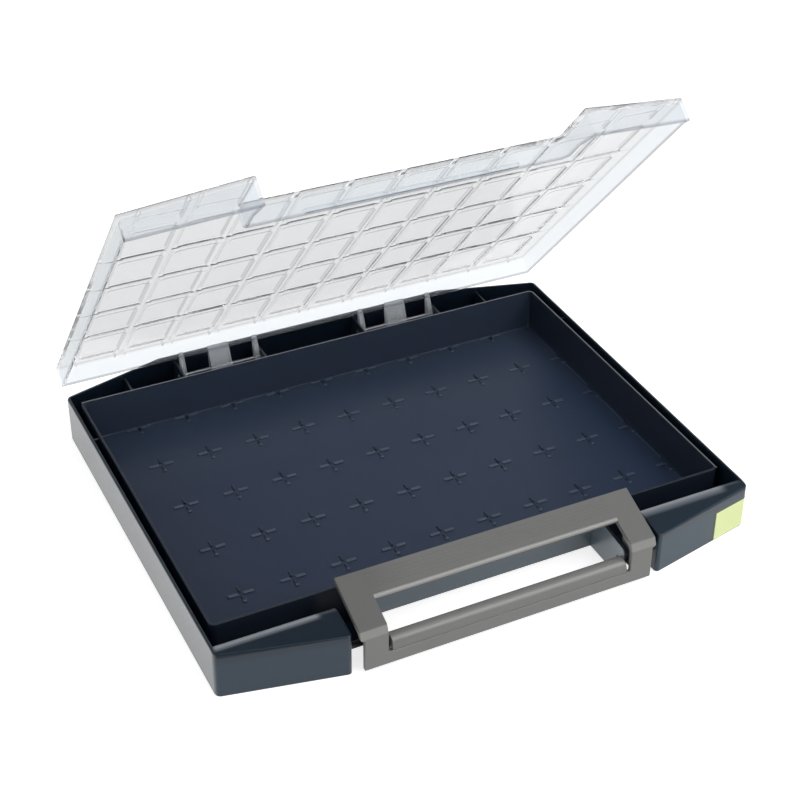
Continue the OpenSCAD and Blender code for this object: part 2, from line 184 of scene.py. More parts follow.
class CaseColours(bpy.types.PropertyGroup):
    """Colours of the plastics and of the stage."""

    navy: colour("Navy", "Tray at its left side", (0.0088, 0.0168, 0.0405))
    # Painted light: the tray's navy grows lighter towards its right side and towards its back
    navy_painted_light_right: colour("Navy, right", "Tray at its right side", (0.0175, 0.0285, 0.0560))
    navy_painted_light_back: colour("Navy, back", "Tray at its back", (0.0250, 0.0360, 0.0600))
    # Painted shade: darker, greyer navy on the right wall's inner face and the front wall's outer face
    navy_painted_shade: colour("Navy, right wall", "Inner face of the tray's right wall", (0.010, 0.015, 0.026))
    # Painted shade: the navy made darker for the outer wall, channel floor and ribs, so the channels look
    # shaded
    dark: colour("Dark", "Outer wall and channels", (0.006, 0.012, 0.022))
    block: colour("Block", "Front blocks", (0.010, 0.025, 0.046))
    # Painted light: the right block is a lighter navy
    block_painted_light_right: colour("Right block", "Right front block", (0.017, 0.038, 0.064))
    # Painted shade: the blocks' tops are darker than their fronts, the left top darkest, as is the ridge
    # behind the crest
    block_top_painted_shade: colour("Block top", "Top of the left front block", (0.0035, 0.009, 0.018))
    block_top_right_painted_shade: colour("Right block top", "Top of the right front block", (0.013, 0.022, 0.034))
    # Painted light: the pale tone of the bay's walls stands in for the light that falls on them
    bay: colour("Bay", "Walls of the handle's bay", (0.165, 0.215, 0.255))
    # Painted highlight: the pale strip along the tray's rim at its back and right
    rim: colour("Rim", "Painted highlight on the tray's rim at its back and right", (0.12, 0.13, 0.15))
    # Painted highlight, faint: a greyer tone along the top of the whole rim
    rim_faint_painted_highlight: colour("Dim rim", "Rim of the tray elsewhere", (0.012, 0.017, 0.026))
    # Painted highlight: the pale band along the crest of the front blocks
    crest: colour("Crest", "Painted highlight on the crest of the front blocks", (0.16, 0.175, 0.20))
    # Painted light and shade: the raised bars across and the nubs are paler, the bars in depth darker
    mark: colour("Mark", "Bars of the marks across the case", (0.036, 0.053, 0.083))
    mark_painted_shade: colour("Dark mark", "Bars of the marks in depth", (0.007, 0.012, 0.025))
    grey: colour("Grey", "Handle", (0.200, 0.201, 0.196))
    tab: colour("Tab", "Corner tab", (0.83, 0.93, 0.46))
    tab_edge: colour("Tab edge", "Shadowed border of the corner tab", (0.050, 0.072, 0.018))
    clear: colour("Clear", "Tint of the lid", (0.825, 0.835, 0.842))
    skirt: colour("Skirt", "Tint of the lid's skirt", (0.86, 0.89, 0.915))
    line: colour("Line", "Tint of the lid's edges and of the steps of its pockets", (0.20, 0.20, 0.24))
    steel: colour("Steel", "Hinge rods", (0.16, 0.165, 0.18))
    pin: colour("Pin", "Pivot pins", (0.02, 0.022, 0.028))
    floor: colour("Floor", "Studio floor", (0.62, 0.62, 0.62))


def chosen(context):
    """The sizes of the case, the lid and the handle, and the colours."""
    scene = context.scene
    return scene.case_sizes, scene.lid_sizes, scene.handle_sizes, scene.case_colours


def half_floor(c):
    """Half the width and half the depth of the tray floor."""
    return c.columns * c.cell_x / 2, c.rows * c.cell_y / 2


def half_pocket(c, k):
    """Half the width and half the depth of a pocket in the lid."""
    return (c.cell_x - k.band_w) / 2, (c.cell_y - k.band_w) / 2


def block_slope(c):
    """Fall of the front blocks' tops for each metre towards the front."""
    return c.top_drop / (c.ridge_y - c.block_y)


# ---------------------------------------------------------------- surfaces


def quads(rows, columns, wrap_rows=False, wrap_columns=False):
    """Corner numbers of the quads between the points of a rows x columns grid."""
    i, j = np.meshgrid(
        np.arange(rows if wrap_rows else rows - 1),
        np.arange(columns if wrap_columns else columns - 1),
        indexing="ij",
    )
    below, right = (i + 1) % rows, (j + 1) % columns
    corners = [i * columns + j, below * columns + j, below * columns + right, i * columns + right]
    return np.stack(corners, -1).reshape(-1, 4)


def outwards(points, faces):
    """The faces of a closed shell, turned over if they point inwards.

    Six times the volume inside is the sum of a . (b x c) over the triangles (a, b, c) of each face."""
    volume = 0.0
    for f in faces:
        p = points[f] - points.mean(0)
        a, b, c = p[..., :1, :], p[..., 1:-1, :], p[..., 2:, :]
        volume += np.sum(a * np.cross(b, c))
    return [f[..., ::-1] for f in faces] if volume < 0 else faces


def shell(points, *faces):
    """A closed shell: its points, and arrays of faces, each (count, corners), wound outwards."""
    points = np.asarray(points, float).reshape(-1, 3)
    return points, outwards(points, [np.atleast_2d(f) for f in faces])


def mirrored(part, signs=(-1, 1, 1)):
    """The shell reflected in one plane, with its faces turned over."""
    points, faces = part
    return points * signs, [f[:, ::-1] for f in faces]


def copies(part, places):
    """The shell repeated at each of the places, (count, 3)."""
    points, faces = part
    places = np.asarray(places, float)
    steps = np.arange(len(places)) * len(points)
    moved = (points[None] + places[:, None]).reshape(-1, 3)
    return moved, [(f[None] + steps[:, None, None]).reshape(-1, f.shape[1]) for f in faces]


def both_sides(right):
    """A plan that is the same on both sides: its right half, then that half mirrored, in reverse order."""
    return right + [(-x, y) for x, y in right[::-1]]


def mitre(u, v):
    """The mitre of the unit normals u and v of two sides: (u + v) / (1 + u . v)."""
    return (u + v) / (1 + np.sum(u * v, 1, keepdims=True))


def normals_2d(plan, closed=True):
    """Mitre normals at the points of a plan wound anticlockwise."""
    ahead, behind = np.roll(plan, -1, 0) - plan, plan - np.roll(plan, 1, 0)
    if not closed:
        ahead[-1], behind[0] = behind[-1], ahead[0]
    sides = [s / np.linalg.norm(s, axis=1, keepdims=True) for s in (behind, ahead)]
    return mitre(*(np.stack([s[:, 1], -s[:, 0]], 1) for s in sides))


def rounded(corners, radii, steps=5, closed=True):
    """A plan whose corners are arcs: centre + r (cos a, sin a), from one tangent point to the other."""
    corners = np.asarray(corners, float)
    n, out = len(corners), []
    for i, (p, r) in enumerate(zip(corners, np.broadcast_to(radii, n))):
        if r == 0 or (not closed and i in (0, n - 1)):
            out.append(p[None])
            continue
        u, v = corners[i - 1] - p, corners[(i + 1) % n] - p
        u, v = u / np.linalg.norm(u), v / np.linalg.norm(v)
        half = math.acos(np.clip(u @ v, -1, 1)) / 2
        centre = p + (u + v) / np.linalg.norm(u + v) * r / math.sin(half)
        first, last = p + u * r / math.tan(half) - centre, p + v * r / math.tan(half) - centre
        start = math.atan2(first[1], first[0])
        turn = (math.atan2(last[1], last[0]) - start + math.pi) % (2 * math.pi) - math.pi
        a = start + turn * np.linspace(0, 1, steps + 1)
        out.append(centre + r * np.stack([np.cos(a), np.sin(a)], 1))
    return np.concatenate(out)


def soft_edge(radius, steps=5):
    """A quarter circle at an edge: the steps in from the side, r (1 - sin a), and the end, r (1 - cos a)."""
    a = np.linspace(0, math.pi / 2, steps + 1)
    return radius * (1 - np.stack([np.sin(a), np.cos(a)], 1))


def carried(profile, plan, height=None, closed=True):
    """A closed profile of (offset outwards, z) carried along a plan: plan + offset x mitre normal, at z.

    height(y) is added to z where z is above half the profile's height."""
    plan, profile = np.asarray(plan, float), np.asarray(profile, float)
    n = normals_2d(plan, closed)
    xy = plan[None] + profile[:, None, :1] * n[None]
    z = np.broadcast_to(profile[:, None, 1], xy.shape[:2]).copy()
    if height is not None:
        z += height(xy[..., 1]) * (profile[:, None, 1] > profile[:, 1].max() / 2)
    points = np.concatenate([xy, z[..., None]], -1)
    rows, columns = xy.shape[:2]
    sides = quads(rows, columns, True, closed)
    if closed:
        return shell(points, sides)
    ends = np.arange(rows) * columns
    return shell(points, sides, ends, (ends + columns - 1)[::-1])


def stacked(plan, levels):
    """A closed solid of rings one above the other: plan - inset x mitre normal, at z, capped at both ends.

    levels is a list of (inset, z), where z is a number or one value for each point of the plan."""
    n, columns = normals_2d(plan), len(plan)
    rings = [np.column_stack([plan - d * n, np.broadcast_to(z, columns)]) for d, z in levels]
    first = np.arange(columns)
    last = first + (len(rings) - 1) * columns
    return shell(np.stack(rings), quads(len(rings), columns, False, True), first[::-1], last)


def along_x(profile, x0, x1, edge=0.0004, steps=3):
    """A profile in (y, z) drawn out from x0 to x1, whose end edges are arcs of radius edge."""
    arc = soft_edge(edge, steps)
    levels = [(d, x0 + rise) for d, rise in arc] + [(d, x1 - rise) for d, rise in arc[::-1]]
    points, faces = stacked(np.asarray(profile, float), levels)
    return shell(points[:, [2, 0, 1]], *faces)


def circle(y, z, r, steps=32):
    """Points (y + r cos a, z + r sin a)."""
    a = np.arange(steps) * 2 * math.pi / steps
    return np.stack([y + r * np.cos(a), z + r * np.sin(a)], 1)


def block(lo, hi, edge=0.0003, steps=2):
    """A box with a rounded outline and rounded top and bottom edges.

    Its upright edges are a little rounder than the others, so that no side shrinks to nothing."""
    (x0, y0, z0), (x1, y1, z1) = lo, hi
    rounder = 1.05
    plan = rounded([(x0, y0), (x1, y0), (x1, y1), (x0, y1)], edge * rounder, steps)
    arc = soft_edge(edge, steps)
    return stacked(plan, [(d, z0 + rise) for d, rise in arc] + [(rise, z1 - d) for d, rise in arc])


def piece(name, parts, material, body, nodes, slot, sharp=38, **spread):
    """Puts closed shells into one mesh object, which rides on a body and stands for the named CAD nodes.

    Edges sharper than sharp degrees stay sharp. spread holds values for the mesh's points, by name."""
    points, faces, n = [], [], 0
    for p, fs in parts:
        points.append(p)
        faces += [row for f in fs for row in (f + n).tolist()]
        n += len(p)
    mesh = bpy.data.meshes.new(name)
    mesh.from_pydata(np.concatenate(points), [], faces)
    mesh.shade_smooth()
    mesh.set_sharp_from_angle(angle=math.radians(sharp))
    for label, values in spread.items():
        kind, key = ("FLOAT", "value") if values.ndim == 1 else ("FLOAT_VECTOR", "vector")
        mesh.attributes.new(label, kind, "POINT").data.foreach_set(key, values.astype(np.float32).ravel())
    mesh.materials.append(material)
    obj = bpy.data.objects.new(name, mesh)
    bpy.context.scene.collection.objects.link(obj)
    obj.modifiers.new("Even shading", "WEIGHTED_NORMAL").keep_sharp = True
    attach(obj, body)
    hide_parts(*nodes)
    return obj


# ---------------------------------------------------------------- materials


def group(name, inputs, outputs):
    """A new shader node group with the named inputs (name, kind, default) and outputs (name, kind)."""
    tree = bpy.data.node_groups.new(name, "ShaderNodeTree")
    for label, kind, default in inputs:
        tree.interface.new_socket(label, in_out="INPUT", socket_type=kind).default_value = default
    for label, kind in outputs:
        tree.interface.new_socket(label, in_out="OUTPUT", socket_type=kind)
    return tree, tree.nodes.new("NodeGroupInput"), tree.nodes.new("NodeGroupOutput")


def node(tree, kind, links=(), **settings):
    """A node of a kind, with its settings made and its inputs linked or set."""
    n = tree.nodes.new(kind)
    for key, value in settings.items():
        setattr(n, key, value)
    feed(tree, n, links)
    return n


def feed(tree, n, links):
    """Links each input of a node to the socket given for it, or sets it to the value given."""
    for key, value in dict(links).items():
        if isinstance(value, bpy.types.NodeSocket):
            tree.links.new(value, n.inputs[key])
        else:
            n.inputs[key].default_value = value


def maths(tree, operation, *values):
    """The result of one calculation on sockets or numbers."""
    return node(tree, "ShaderNodeMath", enumerate(values), operation=operation).outputs[0]


def swung(tree, base, value, share):
    """base + value x share."""
    return maths(tree, "ADD", base, maths(tree, "MULTIPLY", value, share))


def scaled(tree, tone, factor):
    """A colour times a factor."""
    tint = node(tree, "ShaderNodeVectorMath", {0: tone}, operation="SCALE")
    tree.links.new(factor, tint.inputs["Scale"])
    return tint.outputs[0]


def mixed(tree, share, first, second):
    """A colour that goes from the first to the second as share goes from 0 to 1."""
    return node(tree, "ShaderNodeMix", {0: share, 6: first, 7: second}, data_type="RGBA").outputs[2]


def noise(tree, place, scale, detail):
    """Soft noise from 0 to 1 at a place."""
    given = {"Vector": place, "Scale": scale, "Detail": detail}
    return node(tree, "ShaderNodeTexNoise", given).outputs["Fac"]


def bumped(tree, height, strength, distance):
    """The normal of a surface raised by height x distance."""
    raised = {"Height": height, "Strength": strength, "Distance": distance}
    return node(tree, "ShaderNodeBump", raised).outputs["Normal"]


def own_place(tree):
    """The object's own coordinates."""
    return node(tree, "ShaderNodeTexCoord").outputs["Object"]


def moulded_group():
    """Moulded plastic: fine grain, slow drift of tone and roughness, and specks of dust."""
    tree, given, out = group(
        "Moulded plastic",
        [
            ("Colour", "NodeSocketColor", (0.1, 0.1, 0.1, 1)),
            ("Roughness", "NodeSocketFloat", 0.4),
            ("Drift", "NodeSocketFloat", 0.08),
            ("Grain", "NodeSocketFloat", 1.0),
        ],
        [("Colour", "NodeSocketColor"), ("Roughness", "NodeSocketFloat"), ("Height", "NodeSocketFloat")],
    )
    drift_scale, grain_scale, dust_scale = 14.0, 900.0, 160.0
    dust_size, dust_light = 0.035, 0.10
    tone_swing, rough_swing, rough_grain = 2.0, 0.8, 0.06
    place = own_place(tree)
    slow = noise(tree, place, drift_scale, detail=3.0)
    fine = noise(tree, place, grain_scale, detail=2.0)
    dots = {"Vector": place, "Scale": dust_scale}
    dust = node(tree, "ShaderNodeTexVoronoi", dots, distance="EUCLIDEAN").outputs["Distance"]
    speck = maths(tree, "LESS_THAN", dust, dust_size)
    swing = maths(tree, "MULTIPLY", maths(tree, "SUBTRACT", slow, 0.5), given.outputs["Drift"])
    shade = swung(tree, swung(tree, 1.0, swing, tone_swing), speck, dust_light)
    tone = scaled(tree, given.outputs["Colour"], shade)
    rough = swung(tree, given.outputs["Roughness"], swing, rough_swing)
    rough = swung(tree, rough, maths(tree, "SUBTRACT", fine, 0.5), rough_grain)
    lift = maths(tree, "MULTIPLY", fine, given.outputs["Grain"])
    feed(tree, out, {"Colour": tone, "Roughness": rough, "Height": lift})
    return tree


def new_material(name):
    """A material with a Principled shader and nothing else: its tree and its shader."""
    material = bpy.data.materials.new(name)
    material.use_nodes = True
    tree = material.node_tree
    return material, tree, tree.nodes["Principled BSDF"]


def ramp(tree, axis, start, end, left=None, right=None, soft=0.0001):
    """A value from 0 to 1 while the object's own coordinate goes from start to end.

    Where left and right are given, it is kept between those two values of x, with an edge as wide as soft."""
    xyz = node(tree, "ShaderNodeSeparateXYZ", {0: own_place(tree)})
    value = node(tree, "ShaderNodeMapRange", {0: xyz.outputs[axis], 1: start, 2: end}).outputs[0]
    if left is None:
        return value
    for first, last in ((left, left + soft), (right, right - soft)):
        side = node(tree, "ShaderNodeMapRange", {0: xyz.outputs[X], 1: first, 2: last}).outputs[0]
        value = maths(tree, "MULTIPLY", value, side)
    return value


def plastic(name, tone, roughness, drift=0.08, grain=1.0, shades=(), sheens=(), **fixed):
    """A moulded plastic of one tone, with the shared grain and drift.

    shades lists (tone, axis, start, end) for parts of another tone, and sheens lists (strength, axis, start,
    end) for parts with a clear gloss. More values keep such a part between two values of x. fixed holds the
    shader's own settings, with _ for each space."""
    material, tree, shader = new_material(name)
    grainy = bpy.data.node_groups.get("Moulded plastic") or moulded_group()
    look = node(tree, "ShaderNodeGroup", node_tree=grainy)
    seen = (*tone, 1)
    feed(tree, look, {"Colour": seen, "Roughness": roughness, "Drift": drift, "Grain": grain})
    for other, *where in shades:
        seen = mixed(tree, ramp(tree, *where), seen, (*other, 1))
    if shades:
        tree.links.new(seen, look.inputs["Colour"])
    gloss = 0.0
    for strength, *where in sheens:
        gloss = maths(tree, "MAXIMUM", gloss, maths(tree, "MULTIPLY", ramp(tree, *where), strength))
    if sheens:
        tree.links.new(gloss, shader.inputs["Coat Weight"])
    lift = bumped(tree, look.outputs["Height"], strength=0.04, distance=0.0004)
    tint, rough = look.outputs["Colour"], look.outputs["Roughness"]
    feed(tree, shader, {"Base Color": tint, "Roughness": rough, "Normal": lift})
    feed(tree, shader, {key.replace("_", " "): value for key, value in fixed.items()})
    return material


def brushed_steel(name, tone):
    """Drawn wire: fine lines along X in tone, roughness and height."""
    material, tree, shader = new_material(name)
    stretch = (40, 2600, 2600)  # the lines are fine across the wire and long along it
    drawn = node(tree, "ShaderNodeMapping", {"Vector": own_place(tree), "Scale": stretch}).outputs[0]
    lines = noise(tree, drawn, scale=1.0, detail=2.0)
    rough = swung(tree, 0.26, lines, share=0.2)
    shade = swung(tree, 0.85, lines, share=0.3)
    tint = scaled(tree, tone, shade)
    lift = bumped(tree, lines, strength=0.1, distance=0.0001)
    feed(tree, shader, {"Base Color": tint, "Roughness": rough, "Normal": lift, "Metallic": 1.0})
    return material


# ---------------------------------------------------------------- the case


class CARRYCASE_OT_tray(bpy.types.Operator):
    """Builds the tray: filleted floor, leaning walls, rounded rim with a painted highlight at back and right.
    """

    bl_idname = "carrycase.tray"
    bl_label = "Tray"

    def execute(self, context):
        c, _, h, tones = chosen(context)
        x, y = half_floor(c)
        corner_r, fillet, edge, foot = 0.0014, 0.0008, 0.0006, 0.001
        plan = rounded([(-x, -y), (x, -y), (x, y), (-x, y)], corner_r, steps=6)
        rise = c.rim_z - c.floor_z
        levels = [(d, c.floor_z + up) for d, up in soft_edge(fillet)]
        levels += [(-c.lean * t, c.floor_z + rise * t) for t in (0.25, 0.5, 0.75)]
        levels += [(-c.lean - up, c.rim_z - d) for d, up in soft_edge(edge)]
        levels += [(-c.lean - c.rim_t + d, c.rim_z - up) for d, up in soft_edge(edge)]
        levels += [(-c.lean - c.rim_t, foot)]

        outer_y = -y - c.lean - 0.0003  # just outside the inner face of the front wall
        front_wall = (Y, outer_y, outer_y - FADE)
        in_bay = (*front_wall, -h.bracket_x - FADE / 2, h.bracket_x + FADE / 2)
        shades = [
            # Painted light: the navy grows lighter towards the right side and towards the back
            (tones.navy_painted_light_right, X, -x, x),
            (tones.navy_painted_light_back, Y, y * 0.3, y),
            # Painted shade: darker, greyer navy on the right wall's inner face and the front wall's outer
            # face
            (tones.navy_painted_shade, X, x - FADE / 2, x + FADE / 2),
            (tones.navy_painted_shade, *front_wall),
            # Painted light: a pale tone on the front wall's outer face inside the handle's bay
            (tones.bay, *in_bay),
            # Faint painted highlight: a greyer tone along the top of the rim
            (tones.rim_faint_painted_highlight, Z, c.rim_z - 2 * FADE, c.rim_z - FADE),
        ]
        look = {"shades": shades, "sheens": [(1.0, *in_bay)], "Coat_Roughness": 0.3}
        navy = plastic("Navy tray plastic", tones.navy, 0.36, Specular_IOR_Level=0.22, **look)
        piece("tray", [stacked(plan, levels)], navy, *BASE)

        out, turn_r = c.lean + c.rim_t / 2, 0.0035
        half_w, proud, sunk = 0.0005, 0.00004, 0.0003
        corners = [(x + out, -y - out), (x + out, y + out), (-x - out, y + out)]
        path = rounded(corners, [0, turn_r, 0], steps=6, closed=False)
        high = c.rim_z + proud
        section = [(-half_w, high - sunk), (half_w, high - sunk), (half_w, high), (-half_w, high)]
        # Painted highlight: a pale strip laid just proud of the rim along the right side and the back
        pale = plastic("Rim painted highlight plastic", tones.rim, 0.34)
        highlight_strip = carried(section, path, closed=False)
        piece("rim_painted_highlight", [highlight_strip], pale, *BASE)
        return {"FINISHED"}


class CARRYCASE_OT_floor_marks(bpy.types.Operator):
    """Builds the plus marks: low bars round a break at each crossing of the grid, and a nub in front."""

    bl_idname = "carrycase.floor_marks"
    bl_label = "Floor marks"

    def execute(self, context):
        c, _, _, tones = chosen(context)
        i, j = np.meshgrid(np.arange(c.columns + 1), np.arange(c.rows + 1), indexing="ij")
        i, j = i.ravel(), j.ravel()
        x, y = (i - c.columns / 2) * c.cell_x, (j - c.rows / 2) * c.cell_y
        sunk, edge, thin_edge = 0.0004, 0.0005, 0.0004
        foot, high = c.floor_z - sunk, c.floor_z + c.mark_low
        thin, wide = c.mark_w / 2, c.mark_wide / 2
        across = block((c.mark_break, -wide, foot), (c.mark_x, wide, high), edge, steps=3)
        deep = block((-thin, c.mark_break, foot), (thin, c.mark_y, high), thin_edge)
        nub = block((-wide, -wide, foot), (wide, wide, high), edge, steps=3)
        inner_x, inner_y = (i > 0) & (i < c.columns), (j > 0) & (j < c.rows)
        # Marks at a wall are moved in by half a bar, and the four corners of the floor have none
        at_x, at_y = x - thin * np.sign(x) * ~inner_x, y - wide * np.sign(y) * ~inner_y
        used = inner_x | inner_y

        def at(part, px, py, keep):
            """The part at the crossings in keep, but not at the floor's corners."""
            return copies(part, np.stack([px, py, 0 * px], 1)[keep & used])

        pale = [at(across, x, at_y, i < c.columns), at(mirrored(across), x, at_y, i > 0)]
        dark = [at(deep, at_x, y, j < c.rows), at(mirrored(deep, (1, -1, 1)), at_x, y, j > 0)]
        pale.append(at(nub, at_x, y - c.mark_y, j > 0))
        # Painted light and shade: the bars across and the nubs take a paler tone, the bars in depth a darker
        # one
        for name, parts, tone in (
            ("mark_bars_across", pale, tones.mark),
            ("mark_bars_in_depth", dark, tones.mark_painted_shade),
        ):
            navy = plastic(f"Navy {name} plastic", tone, 0.34, Specular_IOR_Level=0.3)
            piece(name, parts, navy, *BASE)
        return {"FINISHED"}


class CARRYCASE_OT_outer_wall(bpy.types.Operator):
    """Builds the outer wall round the sides and the back, and the bottom plate under the channels."""

    bl_idname = "carrycase.outer_wall"
    bl_label = "Outer wall"

    def execute(self, context):
        c, _, h, tones = chosen(context)
        block_round, side_r, back_r = 0.0034, 0.005, 0.012
        inside_r, outside_r = 0.0004, 0.0015  # of the rim
        corners = [
            (c.side_x, c.corner_front_y + block_round),
            (c.side_x, c.ridge_y),
            (c.side_x, c.corner_y),
            (c.back_x, c.back_y),
        ]
        radii = [0, 0, side_r, back_r, back_r, side_r, 0, 0]
        plan = rounded(both_sides(corners), radii, steps=8, closed=False)
        profile = [(-c.wall_t, 0), (0, 0)]
        profile += [(-rise, c.wall_z - d) for d, rise in soft_edge(outside_r)]
        profile += [(-c.wall_t + d, c.wall_z - rise) for d, rise in soft_edge(inside_r)]
        wall = carried(profile, plan, lambda y: np.minimum(y - c.ridge_y, 0) * block_slope(c), closed=False)
        sheens = [(0.9, Z, c.wall_z - FADE, c.wall_z - 0.0010)]
        look = {"Specular_IOR_Level": 0.6, "Specular_Tint": (0.82, 0.94, 1.0, 1), "Coat_Roughness": 0.2}
        # Painted shade: the outer wall takes the darker navy, so that the channels look shaded
        navy = plastic("Navy wall plastic", tones.dark, 0.30, sheens=sheens, **look)
        piece("outer_wall", [wall], navy, *BASE)

        into, into_tray = 0.001, 0.0005  # how far the plate reaches into the walls round it
        under, gap = 0.0002, 0.0003  # below the plate, and between it and the tray floor and the bracket
        front = -(half_floor(c)[1] + c.lean + c.rim_t - into_tray)
        corners = [
            (c.bay_x + into, front),
            (c.bay_x + into, c.ridge_y + into),
            (c.side_x - into, c.ridge_y + into),
            (c.side_x - into, c.corner_y - into),
            (c.back_x, c.back_y - into),
        ]
        side_r, back_r = side_r - into, back_r - 2 * into
        plate = rounded(both_sides(corners), [0, 0, 0, side_r, back_r, back_r, side_r, 0, 0, 0])
        floor = stacked(plate, [(0, under), (0, c.floor_z - gap)])
        inner = (h.bracket_x + gap, front - c.shelf_reach, 0.0)
        shelf = block(inner, (c.bay_x + into, front + into, c.floor_z))
        # Painted shade: the channel floor takes the darker navy too
        dull = plastic("Navy channel plastic", tones.dark, 0.40, Specular_IOR_Level=0.25)
        piece("channel_floor", [floor, shelf, mirrored(shelf)], dull, *BASE)
        return {"FINISHED"}


class CARRYCASE_OT_front_blocks(bpy.types.Operator):
    """Builds the two front blocks: hollow shells with a sloping top, a soft ridge and slanting fronts."""

    bl_idname = "carrycase.front_blocks"
    bl_label = "Front blocks"

    def execute(self, context):
        c, _, _, tones = chosen(context)
        # They stand a little into the bay, and stay just inside the outer wall's face
        back, inner, outer = c.ridge_y + c.ridge_t, c.bay_x - 0.0008, c.side_x - 0.0001
        edge, foot_edge, bay_r, side_r, slope = 0.0011, 0.0004, 0.0028, 0.0040, block_slope(c)
        # The ridge bends down towards the back in three arcs of five steps: first angle, last angle and reach
        gentle, steep, upright = math.radians(12), math.radians(20), 1.4
        bends = ((-math.atan(slope), gentle, 0.0012), (gentle, steep, 0.0030), (steep, upright, 0.0023))
        run, drop = [0.0], [0.0]
        for first, last, reach in bends:
            a = np.linspace(first, last, 6)[1:]
            r = reach / (math.sin(last) - math.sin(first))
            run += list(run[-1] + r * (np.sin(a) - math.sin(first)))
            drop += list(drop[-1] + r * (math.cos(first) - np.cos(a)))
        over = back - run[-1] + np.array(run)
        level = c.wall_z + slope * (over[0] - c.ridge_y) - np.array(drop)
        corners = [(inner, back), (inner, c.block_y), (outer, c.corner_front_y), (outer, back)]
        front = rounded(corners, [0, bay_r, side_r, 0], steps=6)[1:-1]
        up = np.stack([np.full(len(over), outer), over], 1)[:-1]
        plan = np.concatenate([front, up, [(outer, back), (inner, back)], up[::-1] * [0, 1] + [inner, 0]])
        n = normals_2d(plan)

        def ring(inset, z):
            """The plan moved in by inset, at z."""
            return np.column_stack([plan - inset * n, np.broadcast_to(z, len(plan))])

        def below_top(inset, depth):
            """A ring at a depth below the top, z = wall + slope (y - ridge) in front of the bends."""
            y = (plan - inset * n)[:, 1]
            flat = c.wall_z + slope * (y - c.ridge_y)
            return ring(inset, np.where(y < over[0], flat, np.interp(y, over, level)) - depth)

        rings = [below_top(c.wall_t, c.wall_t), ring(c.wall_t, 0.0)]
        rings += [ring(foot_edge, 0.0), ring(0.0, foot_edge)]
        rings += [below_top(rise, d) for d, rise in soft_edge(edge)]
        m, k, side = len(plan), len(over), len(front)
        last = (len(rings) - 1) * m
        right, left = side + np.arange(k), m - 1 - np.arange(k)
        strips = np.stack([right[:-1], right[1:], left[1:], left[:-1]], 1)
        flat = np.concatenate([np.arange(side), [right[0], left[0]]])
        sides = quads(len(rings), m, False, True)
        solid = shell(np.stack(rings), sides, flat + last, strips + last, flat[::-1], strips[:, ::-1])

        # Painted highlight on the crest: the values of x that it lies between, and how soft its ends are
        left = (-c.side_x, -c.bay_x - 0.011, 0.004)
        right = (c.bay_x - 0.006, c.side_x - 0.016, 0.006)
        top_tone = (Z, 0.026, 0.034)  # heights between which the tone of the top sets in
        # Painted light and shade: a lighter right block, darker tops, a crest highlight and shade behind it
        shades = [
            (tones.block_painted_light_right, X, 0, c.bay_x),
            (tones.block_top_painted_shade, *top_tone, -1, 0),
            (tones.block_top_right_painted_shade, *top_tone, 0, 1),
            (tones.crest, Y, over[0] - 0.0024, over[4], *left),
            (tones.crest, Y, over[0] - 0.0046, over[2], *right),
            (tones.block_top_painted_shade, Y, over[9], over[14]),
        ]
        sheens = [
            (0.55, Z, 0.0335, 0.0325),
            (0.6, Y, over[0] - 0.0020, over[3], *left),
            (0.75, Y, over[0] - 0.0040, over[1], *right),
            (0.95, X, -outer + 0.0020, -outer + FADE),
            (0.95, X, outer - 0.0020, outer - FADE),
        ]
        look = {"Specular_IOR_Level": 0.3, "Specular_Tint": (0.8, 0.93, 1.0, 1), "Coat_Roughness": 0.22}
        navy = plastic("Navy block plastic", tones.block, 0.30, shades=shades, sheens=sheens, **look)
        piece("front_blocks", [solid, mirrored(solid)], navy, *BASE)
        return {"FINISHED"}


class CARRYCASE_OT_ribs(bpy.types.Operator):
    """Builds the thin ribs across the channels and the two brackets that hold the handle's pivots."""

    bl_idname = "carrycase.ribs"
    bl_label = "Ribs and brackets"

    def execute(self, context):
        c, k, h, tones = chosen(context)
        tray_x, tray_y = (reach + c.lean + c.rim_t for reach in half_floor(c))
        half, foot, into = c.web_t / 2, c.floor_z - 0.0008, 0.001

        def rear_rib(x):
            """A rib from the tray to the back wall, which slants beyond back_x."""
            share = (c.side_x - abs(x)) / (c.side_x - c.back_x)
            end = min(c.back_y, c.corner_y + share * (c.back_y - c.corner_y)) - into
            return block((x - half, tray_y - into, foot), (x + half, end, c.web_z))

        web = k.rod_reach - 0.001 - half
        parts = [block((tray_x - into, c.web_y - half, foot), (c.side_x - into, c.web_y + half, c.web_z))]
        parts += [rear_rib(x) for x in (4 * c.cell_x, k.hinge_x - web, k.hinge_x + web)]
        nose, low, sunk = h.pivot_y - h.nose_r, 0.0003, 0.0005
        top_r, nose_r, foot_r = 0.0045, 0.0069, 0.002
        corners = [
            (-tray_y + sunk, low),
            (-tray_y + sunk, h.bracket_z),
            (nose, h.bracket_z - h.bracket_drop),
            (nose, h.pivot_z - h.nose_r),
            (h.pivot_y + h.pivot_z - 0.004, low),
        ]
        side = rounded(corners, [0, 0, top_r, nose_r, foot_r], steps=8)
        outer = h.bracket_x + h.bracket_t
        parts.append(along_x(side, h.bracket_x, outer, edge=0.0005))
        boss = circle(h.pivot_y, h.pivot_z, h.boss_d / 2, steps=40)
        parts.append(along_x(boss, outer - sunk, outer + h.boss_t))
        parts += [mirrored(p) for p in parts]
        # Painted light: pale bracket faces in the bay; painted shade: the darker navy elsewhere
        in_bay = (Y, -tray_y, -tray_y - sunk, -h.bracket_x - FADE / 2, h.bracket_x + FADE / 2)
        look = {"shades": [(tones.bay, *in_bay)], "sheens": [(1.0, *in_bay)], "Coat_Roughness": 0.3}
        navy = plastic("Navy rib plastic", tones.dark, 0.36, **look)
        piece("ribs_and_brackets", parts, navy, *BASE)
        return {"FINISHED"}


